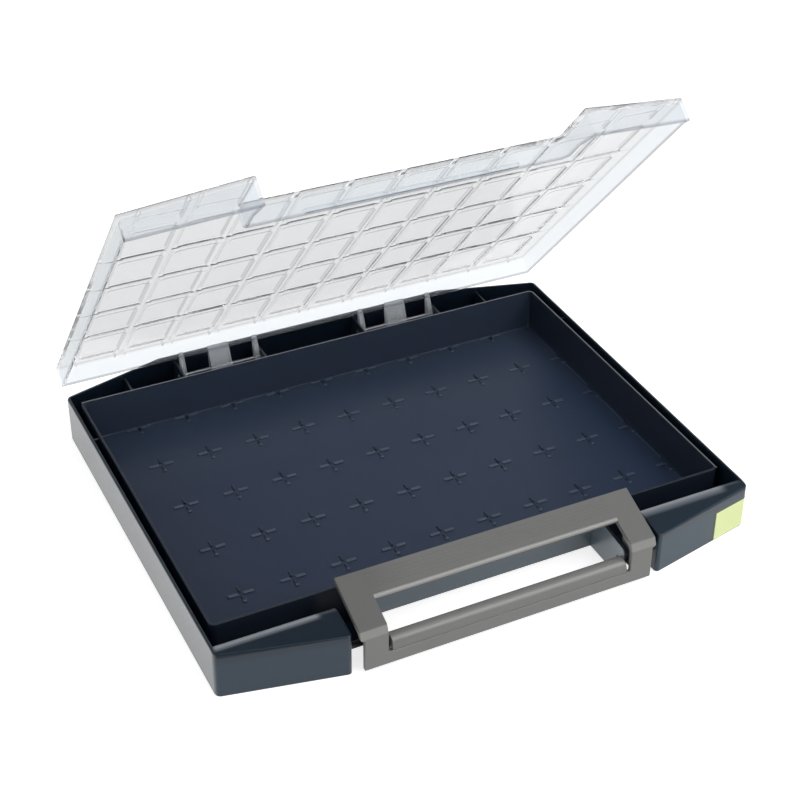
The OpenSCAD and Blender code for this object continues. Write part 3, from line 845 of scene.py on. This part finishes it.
class CARRYCASE_OT_corner_tab(bpy.types.Operator):
    """Builds the pale tab that wraps round the right front corner."""

    bl_idname = "carrycase.corner_tab"
    bl_label = "Corner tab"

    def execute(self, context):
        c, _, _, tones = chosen(context)
        lo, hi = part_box("corner_tab")
        slant = (c.corner_front_y - c.block_y) / (c.side_x - c.bay_x)
        front = (lo.x, c.corner_front_y - slant * (c.side_x - lo.x))
        corner_r, edge, inside = 0.0038, soft_edge(0.0004, steps=3), -0.0009
        corners = [front, (c.side_x, c.corner_front_y), (c.side_x, hi.y)]
        plan = rounded(corners, corner_r, steps=8, closed=False)
        profile = [(inside, lo.z), (inside, hi.z)]
        profile += [(-d, hi.z - rise) for d, rise in edge]
        profile += [(-rise, lo.z + d) for d, rise in edge]
        border = [
            (tones.tab_edge, X, lo.x + 0.0018, lo.x + 0.0010),
            (tones.tab_edge, Z, hi.z - 0.0012, hi.z - 0.0007),
        ]
        look = {"drift": 0.02, "shades": border, "Specular_IOR_Level": 0.4}
        pale = plastic("Pale tab plastic", tones.tab, 0.38, **look)
        tab = carried(profile, plan, closed=False)
        piece("corner_tab_clip", [tab], pale, "base", ["corner_tab"], "tab_plastic")
        return {"FINISHED"}


class CARRYCASE_OT_hinge_rods(bpy.types.Operator):
    """Builds the two steel hinge rods."""

    bl_idname = "carrycase.hinge_rods"
    bl_label = "Hinge rods"

    def execute(self, context):
        _, k, _, tones = chosen(context)
        steel = brushed_steel("Drawn steel", tones.steel)
        for side in ("left", "right"):
            lo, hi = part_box(f"hinge_rod_{side}")
            side_view = circle(k.hinge_y, k.hinge_z, k.rod_d / 2, steps=28)
            rod = along_x(side_view, lo.x, hi.x, edge=0.0005)
            piece(f"{side}_rod", [rod], steel, "base", [f"hinge_rod_{side}"], "steel")
        return {"FINISHED"}


# ---------------------------------------------------------------- the lid


def opened(points, k):
    """The closed lid's points turned about the hinge axis: y' = y cos a + z sin a, z' = z cos a - y sin a."""
    a = k.opening
    y, z = points[:, 1] - k.hinge_y, points[:, 2] - k.hinge_z
    turned = (k.hinge_y + y * math.cos(a) + z * math.sin(a), k.hinge_z + z * math.cos(a) - y * math.sin(a))
    return np.stack([points[:, 0], *turned], 1)


def lines_near(edges, spread):
    """Grid lines at each edge and at each distance of spread to both sides of it."""
    edges, spread = np.asarray(edges, float), np.asarray(spread, float)
    return (edges[:, None] + np.concatenate([-spread, [0], spread])).ravel()


def soft_box(x, y, cx, cy, half_x, half_y, r):
    """Distance outside a rectangle with rounded corners: |max(q, 0)| + min(max(qx, qy), 0) - r."""
    qx, qy = np.abs(x - cx) - half_x + r, np.abs(y - cy) - half_y + r
    return np.hypot(np.maximum(qx, 0), np.maximum(qy, 0)) + np.minimum(np.maximum(qx, qy), 0) - r


def step(d, width):
    """1 where d is below -width / 2, 0 above width / 2, and a smooth fall between."""
    t = np.clip(0.5 - d / width, 0, 1)
    return t * t * (3 - 2 * t)


class Lid:
    """The closed lid: its plate's outer and inner face as two grids, joined by rings round its outline."""

    pocket_edge = 0.0010  # width over which a pocket reaches its depth
    groove_edge = 0.0006  # width over which a groove reaches its depth

    def __init__(self, c, k):
        """Takes the sizes of the case and of the lid."""
        self.c, self.k = c, k
        self.top = k.seat_z + k.height
        self.slant = (c.corner_front_y - c.block_y) / (c.side_x - c.bay_x)
        # Where the rows of the ears lie, from 1 at their slanting front to 0 at the notch
        self.ear = np.concatenate([[1.0], np.linspace(0.96, 0.04, 22)])

    def pockets(self, x, y):
        """How much of the pocket's depth is taken at each point, from 0 to 1."""
        c, k = self.c, self.k
        (nx, ny), (half_x, half_y) = half_floor(c), half_pocket(c, k)
        i = np.clip(np.floor((x + nx) / c.cell_x), 0, c.columns - 1)
        j = np.clip(np.floor((y + ny) / c.cell_y), 0, c.rows - 1)
        cx, cy = (i + 0.5) * c.cell_x - nx, (j + 0.5) * c.cell_y - ny
        main = soft_box(x, y, cx, cy, half_x, half_y, k.pocket_r)
        ear_y, ear_half = (c.ridge_y + k.notch_y) / 2, (k.notch_y - c.ridge_y - k.wall) / 2
        ear = soft_box(x, y, cx, ear_y, half_x, ear_half, k.pocket_r)
        ear = np.where((np.abs(cx) > c.bay_x) & (y < k.notch_y + 0.002), ear, 1.0)
        return step(np.minimum(main, ear), self.pocket_edge)

    def grooves(self, x, y):
        """How much of the groove's depth is taken at each point, from 0 to 1."""
        c, k = self.c, self.k
        nx, ny = half_floor(c)

        def to_line(v, n, cell):
            """Distance from the nearest grid line that has a groove, or 1 where there is none."""
            gap = np.abs((v + n + cell / 2) % cell - cell / 2)
            return np.where(np.abs(v) < n - cell / 2, gap, 1.0)

        gap = np.minimum(to_line(x, nx, c.cell_x), to_line(y, ny, c.cell_y))
        beyond = np.maximum(np.abs(x) - nx, np.abs(y) - ny)
        return step(np.maximum(gap - k.groove_w / 2, beyond), self.groove_edge)

    def lines(self):
        """Grid lines across and in depth, dense where a pocket or groove begins.

        None lies close to the corners of the outline."""
        c, k = self.c, self.k
        spread = [0.0005, 0.0012, 0.0022, 0.0036]
        groove = [(k.groove_w + s) / 2 for s in (-self.groove_edge, 0, self.groove_edge)]
        found, halves = [], zip(half_floor(c), half_pocket(c, k))
        for (count, cell), (n, half) in zip(((c.columns, c.cell_x), (c.rows, c.cell_y)), halves):
            middle = (np.arange(count) + 0.5) * cell - n
            sides = lines_near(np.concatenate([middle - half, middle + half]), spread)
            grooves = lines_near(middle[:-1] + cell / 2, groove)
            found.append(np.unique(np.round(np.concatenate([sides, grooves, middle]), 6)))
        xs, ys = found
        gap, bay_corner, bay_gap = 0.0034, c.bay_x + 0.0008, 0.0028
        xs = xs[(np.abs(xs) < c.side_x - gap) & (np.abs(np.abs(xs) - bay_corner) > bay_gap)]
        ys = ys[(ys > k.notch_y + gap) & (ys < k.rear_y - gap)]
        return xs, ys

    def grid(self, inset):
        """x, y of the plate's grid when its outline is moved in by inset, and which points are in use.

        In the ears the lines across follow the slanting front: y = notch + t (front - notch)."""
        c, k = self.c, self.k
        xs, ys = self.lines()
        edge = [c.bay_x + inset, c.side_x - inset]
        xs = np.sort(np.concatenate([xs, edge, [-v for v in edge]]))
        ys = np.concatenate([[k.notch_y + inset], ys, [k.rear_y - inset]])
        x, y = np.meshgrid(xs, ys, indexing="ij")
        ear_x = np.broadcast_to(xs[:, None], (len(xs), len(self.ear)))
        front = c.block_y + (np.abs(ear_x) - c.bay_x) * self.slant + inset * math.hypot(1, self.slant)
        notch = k.notch_y - 0.0004
        ear_y = notch + self.ear[None] * (front - notch)
        x, y = np.concatenate([ear_x, x], 1), np.concatenate([ear_y, y], 1)
        used = np.ones(x.shape, bool)
        used[:, : len(self.ear)] = np.abs(ear_x) >= c.bay_x + inset - 1e-6
        return x, y, used

    def loop(self, used):
        """Grid numbers of the boundary, anticlockwise from above, and the outward mitre normal at each."""
        rows, columns = used.shape
        e = len(self.ear)
        left = int(np.argmin(used[:, 0]))  # the first column of points beyond the left ear
        right = rows - left
        ids = np.arange(used.size).reshape(used.shape)
        away = np.array([self.slant, 1.0]) / math.hypot(1, self.slant)
        sides = [
            (ids[0:left, 0], (-away[0], -away[1])),
            (ids[left - 1, 0:e], (1, 0)),
            (ids[left - 1 : right, e], (0, -1)),
            (ids[right, 0:e][::-1], (-1, 0)),
            (ids[right:rows, 0], (away[0], -away[1])),
            (ids[rows - 1, 0:columns], (1, 0)),
            (ids[0:rows, columns - 1][::-1], (0, 1)),
            (ids[0, 0:columns][::-1], (-1, 0)),
        ]
        # A point that ends one side and begins the next has the normals of both
        order, first, last = [], [], []
        for points, normal in sides:
            for v in points:
                if order and order[-1] == v:
                    last[-1] = normal
                    continue
                order.append(int(v))
                first.append(normal)
                last.append(normal)
        if order[0] == order[-1]:
            first[0] = first[-1]
            order, first, last = order[:-1], first[:-1], last[:-1]
        return np.array(order), mitre(np.array(first, float), np.array(last, float))

    def build(self):
        """The lid's points before it is opened, its faces, and which points lie on its outer edges."""
        c, k = self.c, self.k
        edge, fillet, lip = 0.0014, 0.0010, 0.0006
        inner_inset = k.wall + fillet
        under = self.top - k.plate_t
        outer_x, outer_y, used = self.grid(edge)
        inner_x, inner_y, _ = self.grid(inner_inset)
        outer_z = self.top - k.groove_d * self.grooves(outer_x, outer_y)
        inner_z = under + k.pocket_d * self.pockets(inner_x, inner_y)
        outer = np.stack([outer_x, outer_y, outer_z], -1).reshape(-1, 3)
        inner = np.stack([inner_x, inner_y, inner_z], -1).reshape(-1, 3)
        loop, n = self.loop(used)
        outer_line, inner_line = outer[loop, :2] + edge * n, inner[loop, :2] + inner_inset * n
        low = k.seat_z + np.minimum(outer_line[:, 1] - c.ridge_y, 0) * block_slope(c)

        def ring(inset, z, line=outer_line):
            """The outline moved in by inset, at z."""
            return np.column_stack([line - inset * n, np.broadcast_to(z, len(n))])

        # Over the outer edge, down the skirt, round its lip, up inside it and over the fillet under the plate
        heights = np.array([0.9, 0.5, 0.15, 0.09])
        wall = k.wall - 1e-7  # a hair less, so that the lip's last facet still counts as smooth
        rings = [ring(d, self.top - rise) for d, rise in soft_edge(edge)[1:]]
        rings += [ring(0, low + (self.top - edge - low) * t) for t in heights]
        rings += [ring(rise, low + d) for d, rise in soft_edge(lip, steps=3)]
        rings += [ring(wall - d, low + rise) for d, rise in soft_edge(lip, steps=3)]
        rings += [ring(k.wall, low + (under - low) * t, inner_line) for t in heights[::-1]]
        rings += [ring(k.wall + rise, under - d, inner_line) for d, rise in soft_edge(fillet, steps=4)[:-1]]
        painted = [2, 3, 4, *range(8, 18)]  # the lower half of the upper edge, and the lip
        total, m = len(outer), len(loop)
        points = np.concatenate([outer, *rings, inner])
        last = total + len(rings) * m
        cells = quads(*used.shape)
        cells = cells[used.reshape(-1)[cells].all(1)]
        numbers = [loop, *(total + r * m + np.arange(m) for r in range(len(rings))), last + loop]
        pairs = zip(numbers[:-1], numbers[1:])
        strips = [np.stack([p, q, np.roll(q, -1), np.roll(p, -1)], 1) for p, q in pairs]
        faces = np.concatenate([cells, (cells + last)[:, ::-1], *strips])
        keep = np.zeros(len(points), bool)
        keep[faces.ravel()] = True
        on_edge = np.zeros(len(points))
        for r in painted:
            on_edge[total + r * m : total + (r + 1) * m] = 1
        points, made = shell(points[keep], (np.cumsum(keep) - 1)[faces])
        return points, made, on_edge[keep]


class CARRYCASE_OT_lid(bpy.types.Operator):
    """Builds the clear lid: a plate with pockets inside and grooves outside, its skirt and two front ears."""

    bl_idname = "carrycase.lid"
    bl_label = "Lid"

    def execute(self, context):
        c, k, _, tones = chosen(context)
        points, faces, edge = Lid(c, k).build()
        clear = clear_plastic("Clear lid plastic", tones, c, k, 0.96)
        lid, spread = [(opened(points, k), faces)], {"lid_plan": points, "lid_edge": edge}
        piece("clear_lid", lid, clear, *LID, sharp=30, **spread)
        return {"FINISHED"}


class CARRYCASE_OT_lid_arms(bpy.types.Operator):
    """Builds the lid's hinge arms, from its rear wall to an eye on the rod, and the ledge in the notch."""

    bl_idname = "carrycase.lid_arms"
    bl_label = "Hinge arms and ledge"

    def execute(self, context):
        c, k, _, tones = chosen(context)
        into, end_edge, ledge_into, ledge_edge = k.wall * 0.2, 0.0005, 0.0003, 0.0006
        root = np.array([k.rear_y - into, k.seat_z + k.arm_root / 2])
        reach = np.array([k.hinge_y, k.hinge_z]) - root
        a = math.atan2(reach[1], reach[0]) + np.linspace(-math.pi / 2, math.pi / 2, 15)
        r = k.eye_d / 2
        eye = np.stack([k.hinge_y + r * np.cos(a), k.hinge_z + r * np.sin(a)], 1)
        side = np.concatenate([[(root[0], k.seat_z)], eye, [(root[0], k.seat_z + k.arm_root)]])
        arms = []
        for middle, w in ((-k.arm_x, k.arm_w), (0, k.middle_arm_w), (k.arm_x, k.arm_w)):
            x = k.hinge_x + middle
            arms.append(along_x(side, x - w / 2, x + w / 2, end_edge))
        arms += [mirrored(p) for p in arms]
        lo = (-k.ledge_w / 2, k.notch_y - k.ledge_reach, k.ledge_z)
        hi = (k.ledge_w / 2, k.notch_y + ledge_into, k.ledge_z + k.ledge_t)
        ledge = [block(lo, hi, ledge_edge, steps=3)]
        for name, made, clarity in (("lid_arms", arms, 0.75), ("lid_ledge", ledge, 0.95)):
            clear = clear_plastic(f"Clear {name} plastic", tones, c, k, clarity)
            closed = np.concatenate([p for p, _ in made])
            made = [(opened(p, k), f) for p, f in made]
            piece(name, made, clear, *LID, lid_plan=closed)
        return {"FINISHED"}


def clear_plastic(name, tones, c, k, clarity):
    """Clear plastic, greyer at the pockets' steps and along its outer edges, where the light is bent away.

    It reads the place in the closed lid from lid_plan, and the outer edges from lid_edge."""
    material, tree, shader = new_material(name)
    plan = node(tree, "ShaderNodeAttribute", attribute_name="lid_plan").outputs["Vector"]
    rim = node(tree, "ShaderNodeAttribute", attribute_name="lid_edge").outputs["Fac"]
    xyz = node(tree, "ShaderNodeSeparateXYZ", {0: plan})
    x, y, z = xyz.outputs[0], xyz.outputs[1], xyz.outputs[2]
    (floor_x, floor_y), (half_x, half_y) = half_floor(c), half_pocket(c, k)

    def calc(operation, *values):
        """The result of one calculation in this tree."""
        return maths(tree, operation, *values)

    def in_cell(value, pitch, floor):
        """Signed distance from the middle of the cell, between -pitch / 2 and pitch / 2."""
        within = calc("FLOORED_MODULO", calc("ADD", value, floor), pitch)
        return calc("SUBTRACT", within, pitch / 2)

    def line(value, at, width, strength):
        """Strength where the value is at, falling to 0 at width from it."""
        gap = calc("ABSOLUTE", calc("SUBTRACT", value, at))
        fall = calc("MAXIMUM", calc("SUBTRACT", 1.0, calc("DIVIDE", gap, width)), 0.0)
        return calc("MULTIPLY", fall, strength)

    across, deep = in_cell(x, c.cell_x, floor_x), in_cell(y, c.cell_y, floor_y)
    off_x, off_y = calc("ABSOLUTE", across), calc("ABSOLUTE", deep)
    over_floor_x = calc("LESS_THAN", calc("ABSOLUTE", x), floor_x)
    over_floor_y = calc("LESS_THAN", calc("ABSOLUTE", y), floor_y)
    within_x = calc("MULTIPLY", calc("LESS_THAN", off_x, half_x), over_floor_x)
    corner = 0.002  # the lines along the sides end this far before the pocket does
    within_y = calc("MULTIPLY", calc("LESS_THAN", off_y, half_y - corner), over_floor_x)
    right = line(across, half_x, width=0.0012, strength=0.68)
    left = line(across, -half_x, width=0.0008, strength=0.5)
    ends = calc("MULTIPLY", line(off_y, half_y, width=0.0008, strength=0.35), over_floor_y)
    mark = calc("MULTIPLY", calc("MAXIMUM", right, left), within_y)
    mark = calc("MAXIMUM", mark, calc("MULTIPLY", ends, within_x))
    below, rim_strength = 0.0008, 0.45
    in_plate = calc("GREATER_THAN", z, k.seat_z + k.height - k.plate_t - below)
    mark = calc("MAXIMUM", calc("MULTIPLY", mark, in_plate), calc("MULTIPLY", rim, rim_strength))
    skirt = calc("SUBTRACT", 1.0, in_plate)
    tint = mixed(tree, skirt, (*tones.clear, 1), (*tones.skirt, 1))
    tint = mixed(tree, mark, tint, (*tones.line, 1))
    wave = noise(tree, own_place(tree), scale=30.0, detail=2.0)
    rough = swung(tree, 0.03, wave, share=0.06)
    lift = bumped(tree, wave, strength=0.15, distance=0.0008)
    feed(tree, shader, {"Base Color": tint, "Roughness": rough, "Normal": lift})
    feed(tree, shader, {"Transmission Weight": clarity, "IOR": 1.04})
    feed(tree, shader, {"Coat Weight": 0.3, "Coat Roughness": 0.3})
    return material


# ---------------------------------------------------------------- the handle


def handle_plastic(name, tone, h):
    """Grey moulded plastic: a painted highlight on the bevel, painted shade on the sloping top, more at its
    left end.
    """
    bevel, top, left = ([v * k for v in tone] for k in (1.25, 0.63, 0.49))
    low, fade = h.front_z - h.bevel_h, 0.0006
    over_top = (Z, h.front_z - fade, h.front_z)
    left_end = (-2 * h.half_w, -0.06, 0.035)  # the values of x around it, and how soft its edge is
    shades = [(bevel, Z, low, low + fade), (top, *over_top), (left, *over_top, *left_end)]
    return plastic(name, tone, 0.42, drift=0.06, grain=1.2, shades=shades, Specular_IOR_Level=0.4)


class CARRYCASE_OT_handle_frame(bpy.types.Operator):
    """Builds the handle: a plate carried down its side view, with an opening, fine lines, a bead and lugs."""

    bl_idname = "carrycase.handle_frame"
    bl_label = "Handle frame"

    def execute(self, context):
        _, _, h, tones = chosen(context)
        slope = (h.back_z - h.front_z) / (h.back_y - h.front_y - h.bevel_d)
        drop = h.top_t / math.cos(math.atan(slope))
        hole_y, inner_y = h.back_y - h.bar_d, h.front_y + h.front_t
        bevel_z, corner_z = h.front_z - h.bevel_h, h.front_z - drop + slope * h.front_t
        narrow = [bevel_z, bevel_z - h.step_h, h.sill_z, h.foot_z]
        top = [(h.back_y, h.back_z), (hole_y, h.back_z - slope * h.bar_d)]
        outer = [*top, (h.front_y + h.bevel_d, h.front_z), *((h.front_y, z) for z in narrow)]
        under = [(y, z - drop) for y, z in top]
        inner = [*under, (inner_y + h.bevel_d, corner_z), *((inner_y, z) for z in narrow)]
        face = np.array([outer, inner])
        rows = face.shape[1]
        points = np.empty((2, 4, rows, 3))
        points[..., 0] = np.array([-h.half_w, -h.hole_x, h.hole_x, h.half_w])[None, :, None]
        points[:, 0, 4:, 0] += h.step_w
        points[:, 3, 4:, 0] -= h.step_w
        points[..., 1:] = face[:, None]
        cells = quads(4, rows)
        column, row = np.divmod(cells[:, 0], rows)
        cells = cells[~((column == 1) & (row >= 1) & (row <= 4))]  # the finger opening
        sides = np.concatenate([cells[:, [i, (i + 1) % 4]] for i in range(4)]).tolist()
        seen = {tuple(s) for s in sides}
        rim = np.array([s for s in sides if (s[1], s[0]) not in seen])
        beyond = 4 * rows
        walls = np.stack([rim[:, 1], rim[:, 0], rim[:, 0] + beyond, rim[:, 1] + beyond], 1)
        bow = shell(points, np.concatenate([cells, cells[:, ::-1] + beyond, walls]))
        grey = handle_plastic("Grey handle plastic", tones.grey, h)
        body = piece("handle_bow", [bow], grey, *HANDLE, sharp=24)
        bevel = body.modifiers.new("Round edges", "BEVEL")
        bevel.width, bevel.segments = 0.0006, 3
        bevel.limit_method, bevel.angle_limit = "ANGLE", math.radians(15)
        body.modifiers.move(1, 0)

        line_r, line_sunk = 0.0004, 0.0002
        ys = h.back_y - np.linspace(0.0035, h.bar_d - 0.006, 5)
        zs = h.back_z - slope * (h.back_y - ys) - line_sunk
        fine = [along_x(circle(y, z, line_r, steps=10), -h.hole_x, h.hole_x) for y, z in zip(ys, zs)]
        piece("handle_lines", fine, grey, *HANDLE)
        bead_r, bead_y, bead_sunk, into, lighter = 0.0017, hole_y - 0.0002, 0.0011, 0.0005, 1.4
        bead_side = circle(bead_y, h.back_z - slope * h.bar_d - bead_sunk, bead_r, steps=28)
        bead = along_x(bead_side, -h.hole_x - into, h.hole_x + into, edge=0.0002)
        # Painted highlight: the bead is a lighter grey than the handle, for the light along its rounding
        pale = plastic("Bead painted highlight plastic", [v * lighter for v in tones.grey], 0.32, drift=0.05)
        piece("opening_bead", [bead], pale, *HANDLE)

        sunk, lug_r = 0.001, h.lug_d / 2
        corners = [
            (inner_y - sunk, h.pivot_z - lug_r),
            (h.pivot_y + lug_r, h.pivot_z - lug_r),
            (h.pivot_y + lug_r, h.front_z + sunk),
            (inner_y + h.bevel_d, h.front_z - h.top_t + sunk),
            (inner_y - sunk, bevel_z),
        ]
        side = rounded(corners, [0, lug_r * 0.98, 0, 0, 0], steps=8)
        lug = along_x(side, h.lug_x, h.lug_x + h.lug_w)
        piece("handle_lugs", [lug, mirrored(lug)], grey, *HANDLE)
        return {"FINISHED"}


class CARRYCASE_OT_handle_grip(bpy.types.Operator):
    """Builds the rounded grip, a round bar cut away where it sits on the sill and the front plate."""

    bl_idname = "carrycase.handle_grip"
    bl_label = "Grip"

    def execute(self, context):
        _, _, h, tones = chosen(context)
        r, clear, darker = h.grip_d / 2, 0.0001, 0.82
        ring = circle(h.front_y + r, h.grip_z, r, steps=96)
        inner, sill = h.front_y + h.front_t + clear, h.sill_z + clear
        low, near = ring[:, 1] < sill, ring[:, 0] < inner
        ring[low & near, 1] = sill
        keep = ~(near & (ring[:, 1] <= sill) & np.roll(near, 1) & np.roll(low, -1))
        grip = along_x(ring[keep], -h.grip_x, h.grip_x, edge=0.0006)
        tone = [v * darker for v in tones.grey]
        smooth = plastic("Grip plastic", tone, 0.30, drift=0.05, Specular_IOR_Level=0.6)
        piece("grip_bar", [grip], smooth, "handle", ["handle_grip"], "grip_plastic")
        return {"FINISHED"}


class CARRYCASE_OT_pivots(bpy.types.Operator):
    """Builds the pins that the handle turns on."""

    bl_idname = "carrycase.pivots"
    bl_label = "Pivot pins"

    def execute(self, context):
        _, _, h, tones = chosen(context)
        dark = plastic("Pin plastic", tones.pin, 0.3, drift=0.03)
        for side in ("left", "right"):
            lo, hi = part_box(f"handle_pivot_{side}")
            pin = along_x(circle(h.pivot_y, h.pivot_z, h.pivot_d / 2), lo.x, hi.x, edge=0.0005)
            piece(f"{side}_pivot_pin", [pin], dark, "base", [f"handle_pivot_{side}"], "pin_plastic")
        return {"FINISHED"}


# ---------------------------------------------------------------- the stage


def place_object(scene, name, data, place, rotation):
    """A new object in the scene, at a place and turned by a quaternion."""
    obj = bpy.data.objects.new(name, data)
    obj.location = place
    obj.rotation_mode = "QUATERNION"
    obj.rotation_quaternion = rotation
    scene.collection.objects.link(obj)
    return obj


def light_path(tree, **strengths):
    """The largest of the strengths given for kinds of ray, such as Is_Camera_Ray, at a ray of that kind."""
    path, found = node(tree, "ShaderNodeLightPath"), []
    for kind, strength in strengths.items():
        found.append(maths(tree, "MULTIPLY", path.outputs[kind.replace("_", " ")], strength))
    result = found[0]
    for value in found[1:]:
        result = maths(tree, "MAXIMUM", result, value)
    return result


def add_camera(scene):
    """The camera of the photograph."""
    azimuth, elevation, roll = math.radians(-28.57), math.radians(33.44), math.radians(1.82)
    lens = bpy.data.cameras.new("Camera")
    lens.lens, lens.sensor_width, lens.clip_end = 77.85, 36.0, 50.0
    lens.shift_x, lens.shift_y = -0.0854, -0.0418
    flat = math.cos(elevation)
    back = Vector((math.sin(azimuth) * flat, -math.cos(azimuth) * flat, math.sin(elevation)))
    turn = Quaternion(back, roll) @ (-back).to_track_quat("-Z", "Y")
    place = (-0.45705, -0.95407, 0.79715)
    scene.camera = place_object(scene, "Camera", lens, place, turn)


def add_world(scene):
    """A white studio, dimmer overhead, and plain white behind the object and through clear plastic."""
    world = scene.world = bpy.data.worlds.new("Studio")
    world.use_nodes = True
    tree = world.node_tree
    sky = tree.nodes["Background"]
    plain = light_path(tree, Is_Camera_Ray=1.0, Is_Transmission_Ray=1.0)
    direction = node(tree, "ShaderNodeTexCoord").outputs["Generated"]
    height = node(tree, "ShaderNodeSeparateXYZ", {0: direction}).outputs[2]
    fall = {"Value": height, "From Min": 0.12, "From Max": 0.5, "To Min": 1.0, "To Max": 0.22}
    ceiling = node(tree, "ShaderNodeMapRange", fall, interpolation_type="SMOOTHSTEP").outputs[0]
    feed(tree, sky, {"Color": (1, 1, 1, 1), "Strength": maths(tree, "MAXIMUM", plain, ceiling)})


def add_floor(scene, tone):
    """A pale floor that glows a little, so that it stays white and keeps the object's shadow."""
    half, z = 6.0, -0.0002
    mesh = bpy.data.meshes.new("Studio floor")
    corners = [(x * half, y * half, z) for x, y in ((-1, -1), (1, -1), (1, 1), (-1, 1))]
    mesh.from_pydata(corners, [], [(0, 1, 2, 3)])
    floor = bpy.data.objects.new("Studio floor", mesh)
    scene.collection.objects.link(floor)
    material, tree, shader = new_material("Studio floor")
    glow = light_path(tree, Is_Camera_Ray=0.75, Is_Glossy_Ray=0.5, Is_Transmission_Ray=0.6)
    feed(tree, shader, {"Base Color": (*tone, 1), "Roughness": 0.9, "Specular IOR Level": 0.0})
    feed(tree, shader, {"Emission Color": (1, 1, 1, 1), "Emission Strength": glow})
    mesh.materials.append(material)


def add_lamps(scene):
    """Three soft square lamps that look at the case."""
    target = Vector((0, 0, 0.08))
    for name, place, size, power in (
        ("Key", (1.2, -1.4, 1.8), 1.6, 26),
        ("Top", (0.5, -0.7, 2.4), 2.0, 22),
        ("Left", (-1.8, -0.4, 1.2), 1.4, 10),
    ):
        lamp = bpy.data.lights.new(name, "AREA")
        lamp.shape, lamp.size, lamp.energy = "SQUARE", size, power
        place_object(scene, name, lamp, place, (target - Vector(place)).to_track_quat("-Z", "Y"))


class CARRYCASE_OT_stage(bpy.types.Operator):
    """Sets the camera, the floor, the world and the lamps."""

    bl_idname = "carrycase.stage"
    bl_label = "Stage"

    def execute(self, context):
        scene = context.scene
        add_camera(scene)
        scene.view_settings.view_transform = "Standard"
        add_world(scene)
        add_floor(scene, scene.case_colours.floor)
        add_lamps(scene)
        return {"FINISHED"}


# ---------------------------------------------------------------- the add-on

OPERATORS = (
    CARRYCASE_OT_tray,
    CARRYCASE_OT_floor_marks,
    CARRYCASE_OT_outer_wall,
    CARRYCASE_OT_front_blocks,
    CARRYCASE_OT_ribs,
    CARRYCASE_OT_corner_tab,
    CARRYCASE_OT_hinge_rods,
    CARRYCASE_OT_lid,
    CARRYCASE_OT_lid_arms,
    CARRYCASE_OT_handle_frame,
    CARRYCASE_OT_handle_grip,
    CARRYCASE_OT_pivots,
    CARRYCASE_OT_stage,
)
GROUPS = {
    "case_sizes": CaseSizes,
    "lid_sizes": LidSizes,
    "handle_sizes": HandleSizes,
    "case_colours": CaseColours,
}


class CARRYCASE_PT_panel(bpy.types.Panel):
    """Sizes, colours and the steps that build the case."""

    bl_idname = "CARRYCASE_PT_panel"
    bl_label = "Carry case"
    bl_space_type = "VIEW_3D"
    bl_region_type = "UI"
    bl_category = "Carry case"

    def draw(self, context):
        for owner in GROUPS:
            settings = getattr(context.scene, owner)
            column = self.layout.column()
            for key in settings.bl_rna.properties.keys():
                if key not in {"rna_type", "name"}:
                    column.prop(settings, key)
        for operator in OPERATORS:
            self.layout.operator(operator.bl_idname)


def register():
    """Registers the settings, the steps and the panel."""
    for item in (*GROUPS.values(), *OPERATORS, CARRYCASE_PT_panel):
        bpy.utils.register_class(item)
    for owner, kind in GROUPS.items():
        setattr(bpy.types.Scene, owner, PointerProperty(type=kind))


def unregister():
    """Takes them away again, in reverse order."""
    for owner in GROUPS:
        delattr(bpy.types.Scene, owner)
    for item in reversed((*GROUPS.values(), *OPERATORS, CARRYCASE_PT_panel)):
        bpy.utils.unregister_class(item)


def main():
    """Builds every piece in order."""
    register()
    for operator in OPERATORS:
        area, name = operator.bl_idname.split(".")
        getattr(getattr(bpy.ops, area), name)()
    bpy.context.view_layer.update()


if __name__ == "__main__":
    main()
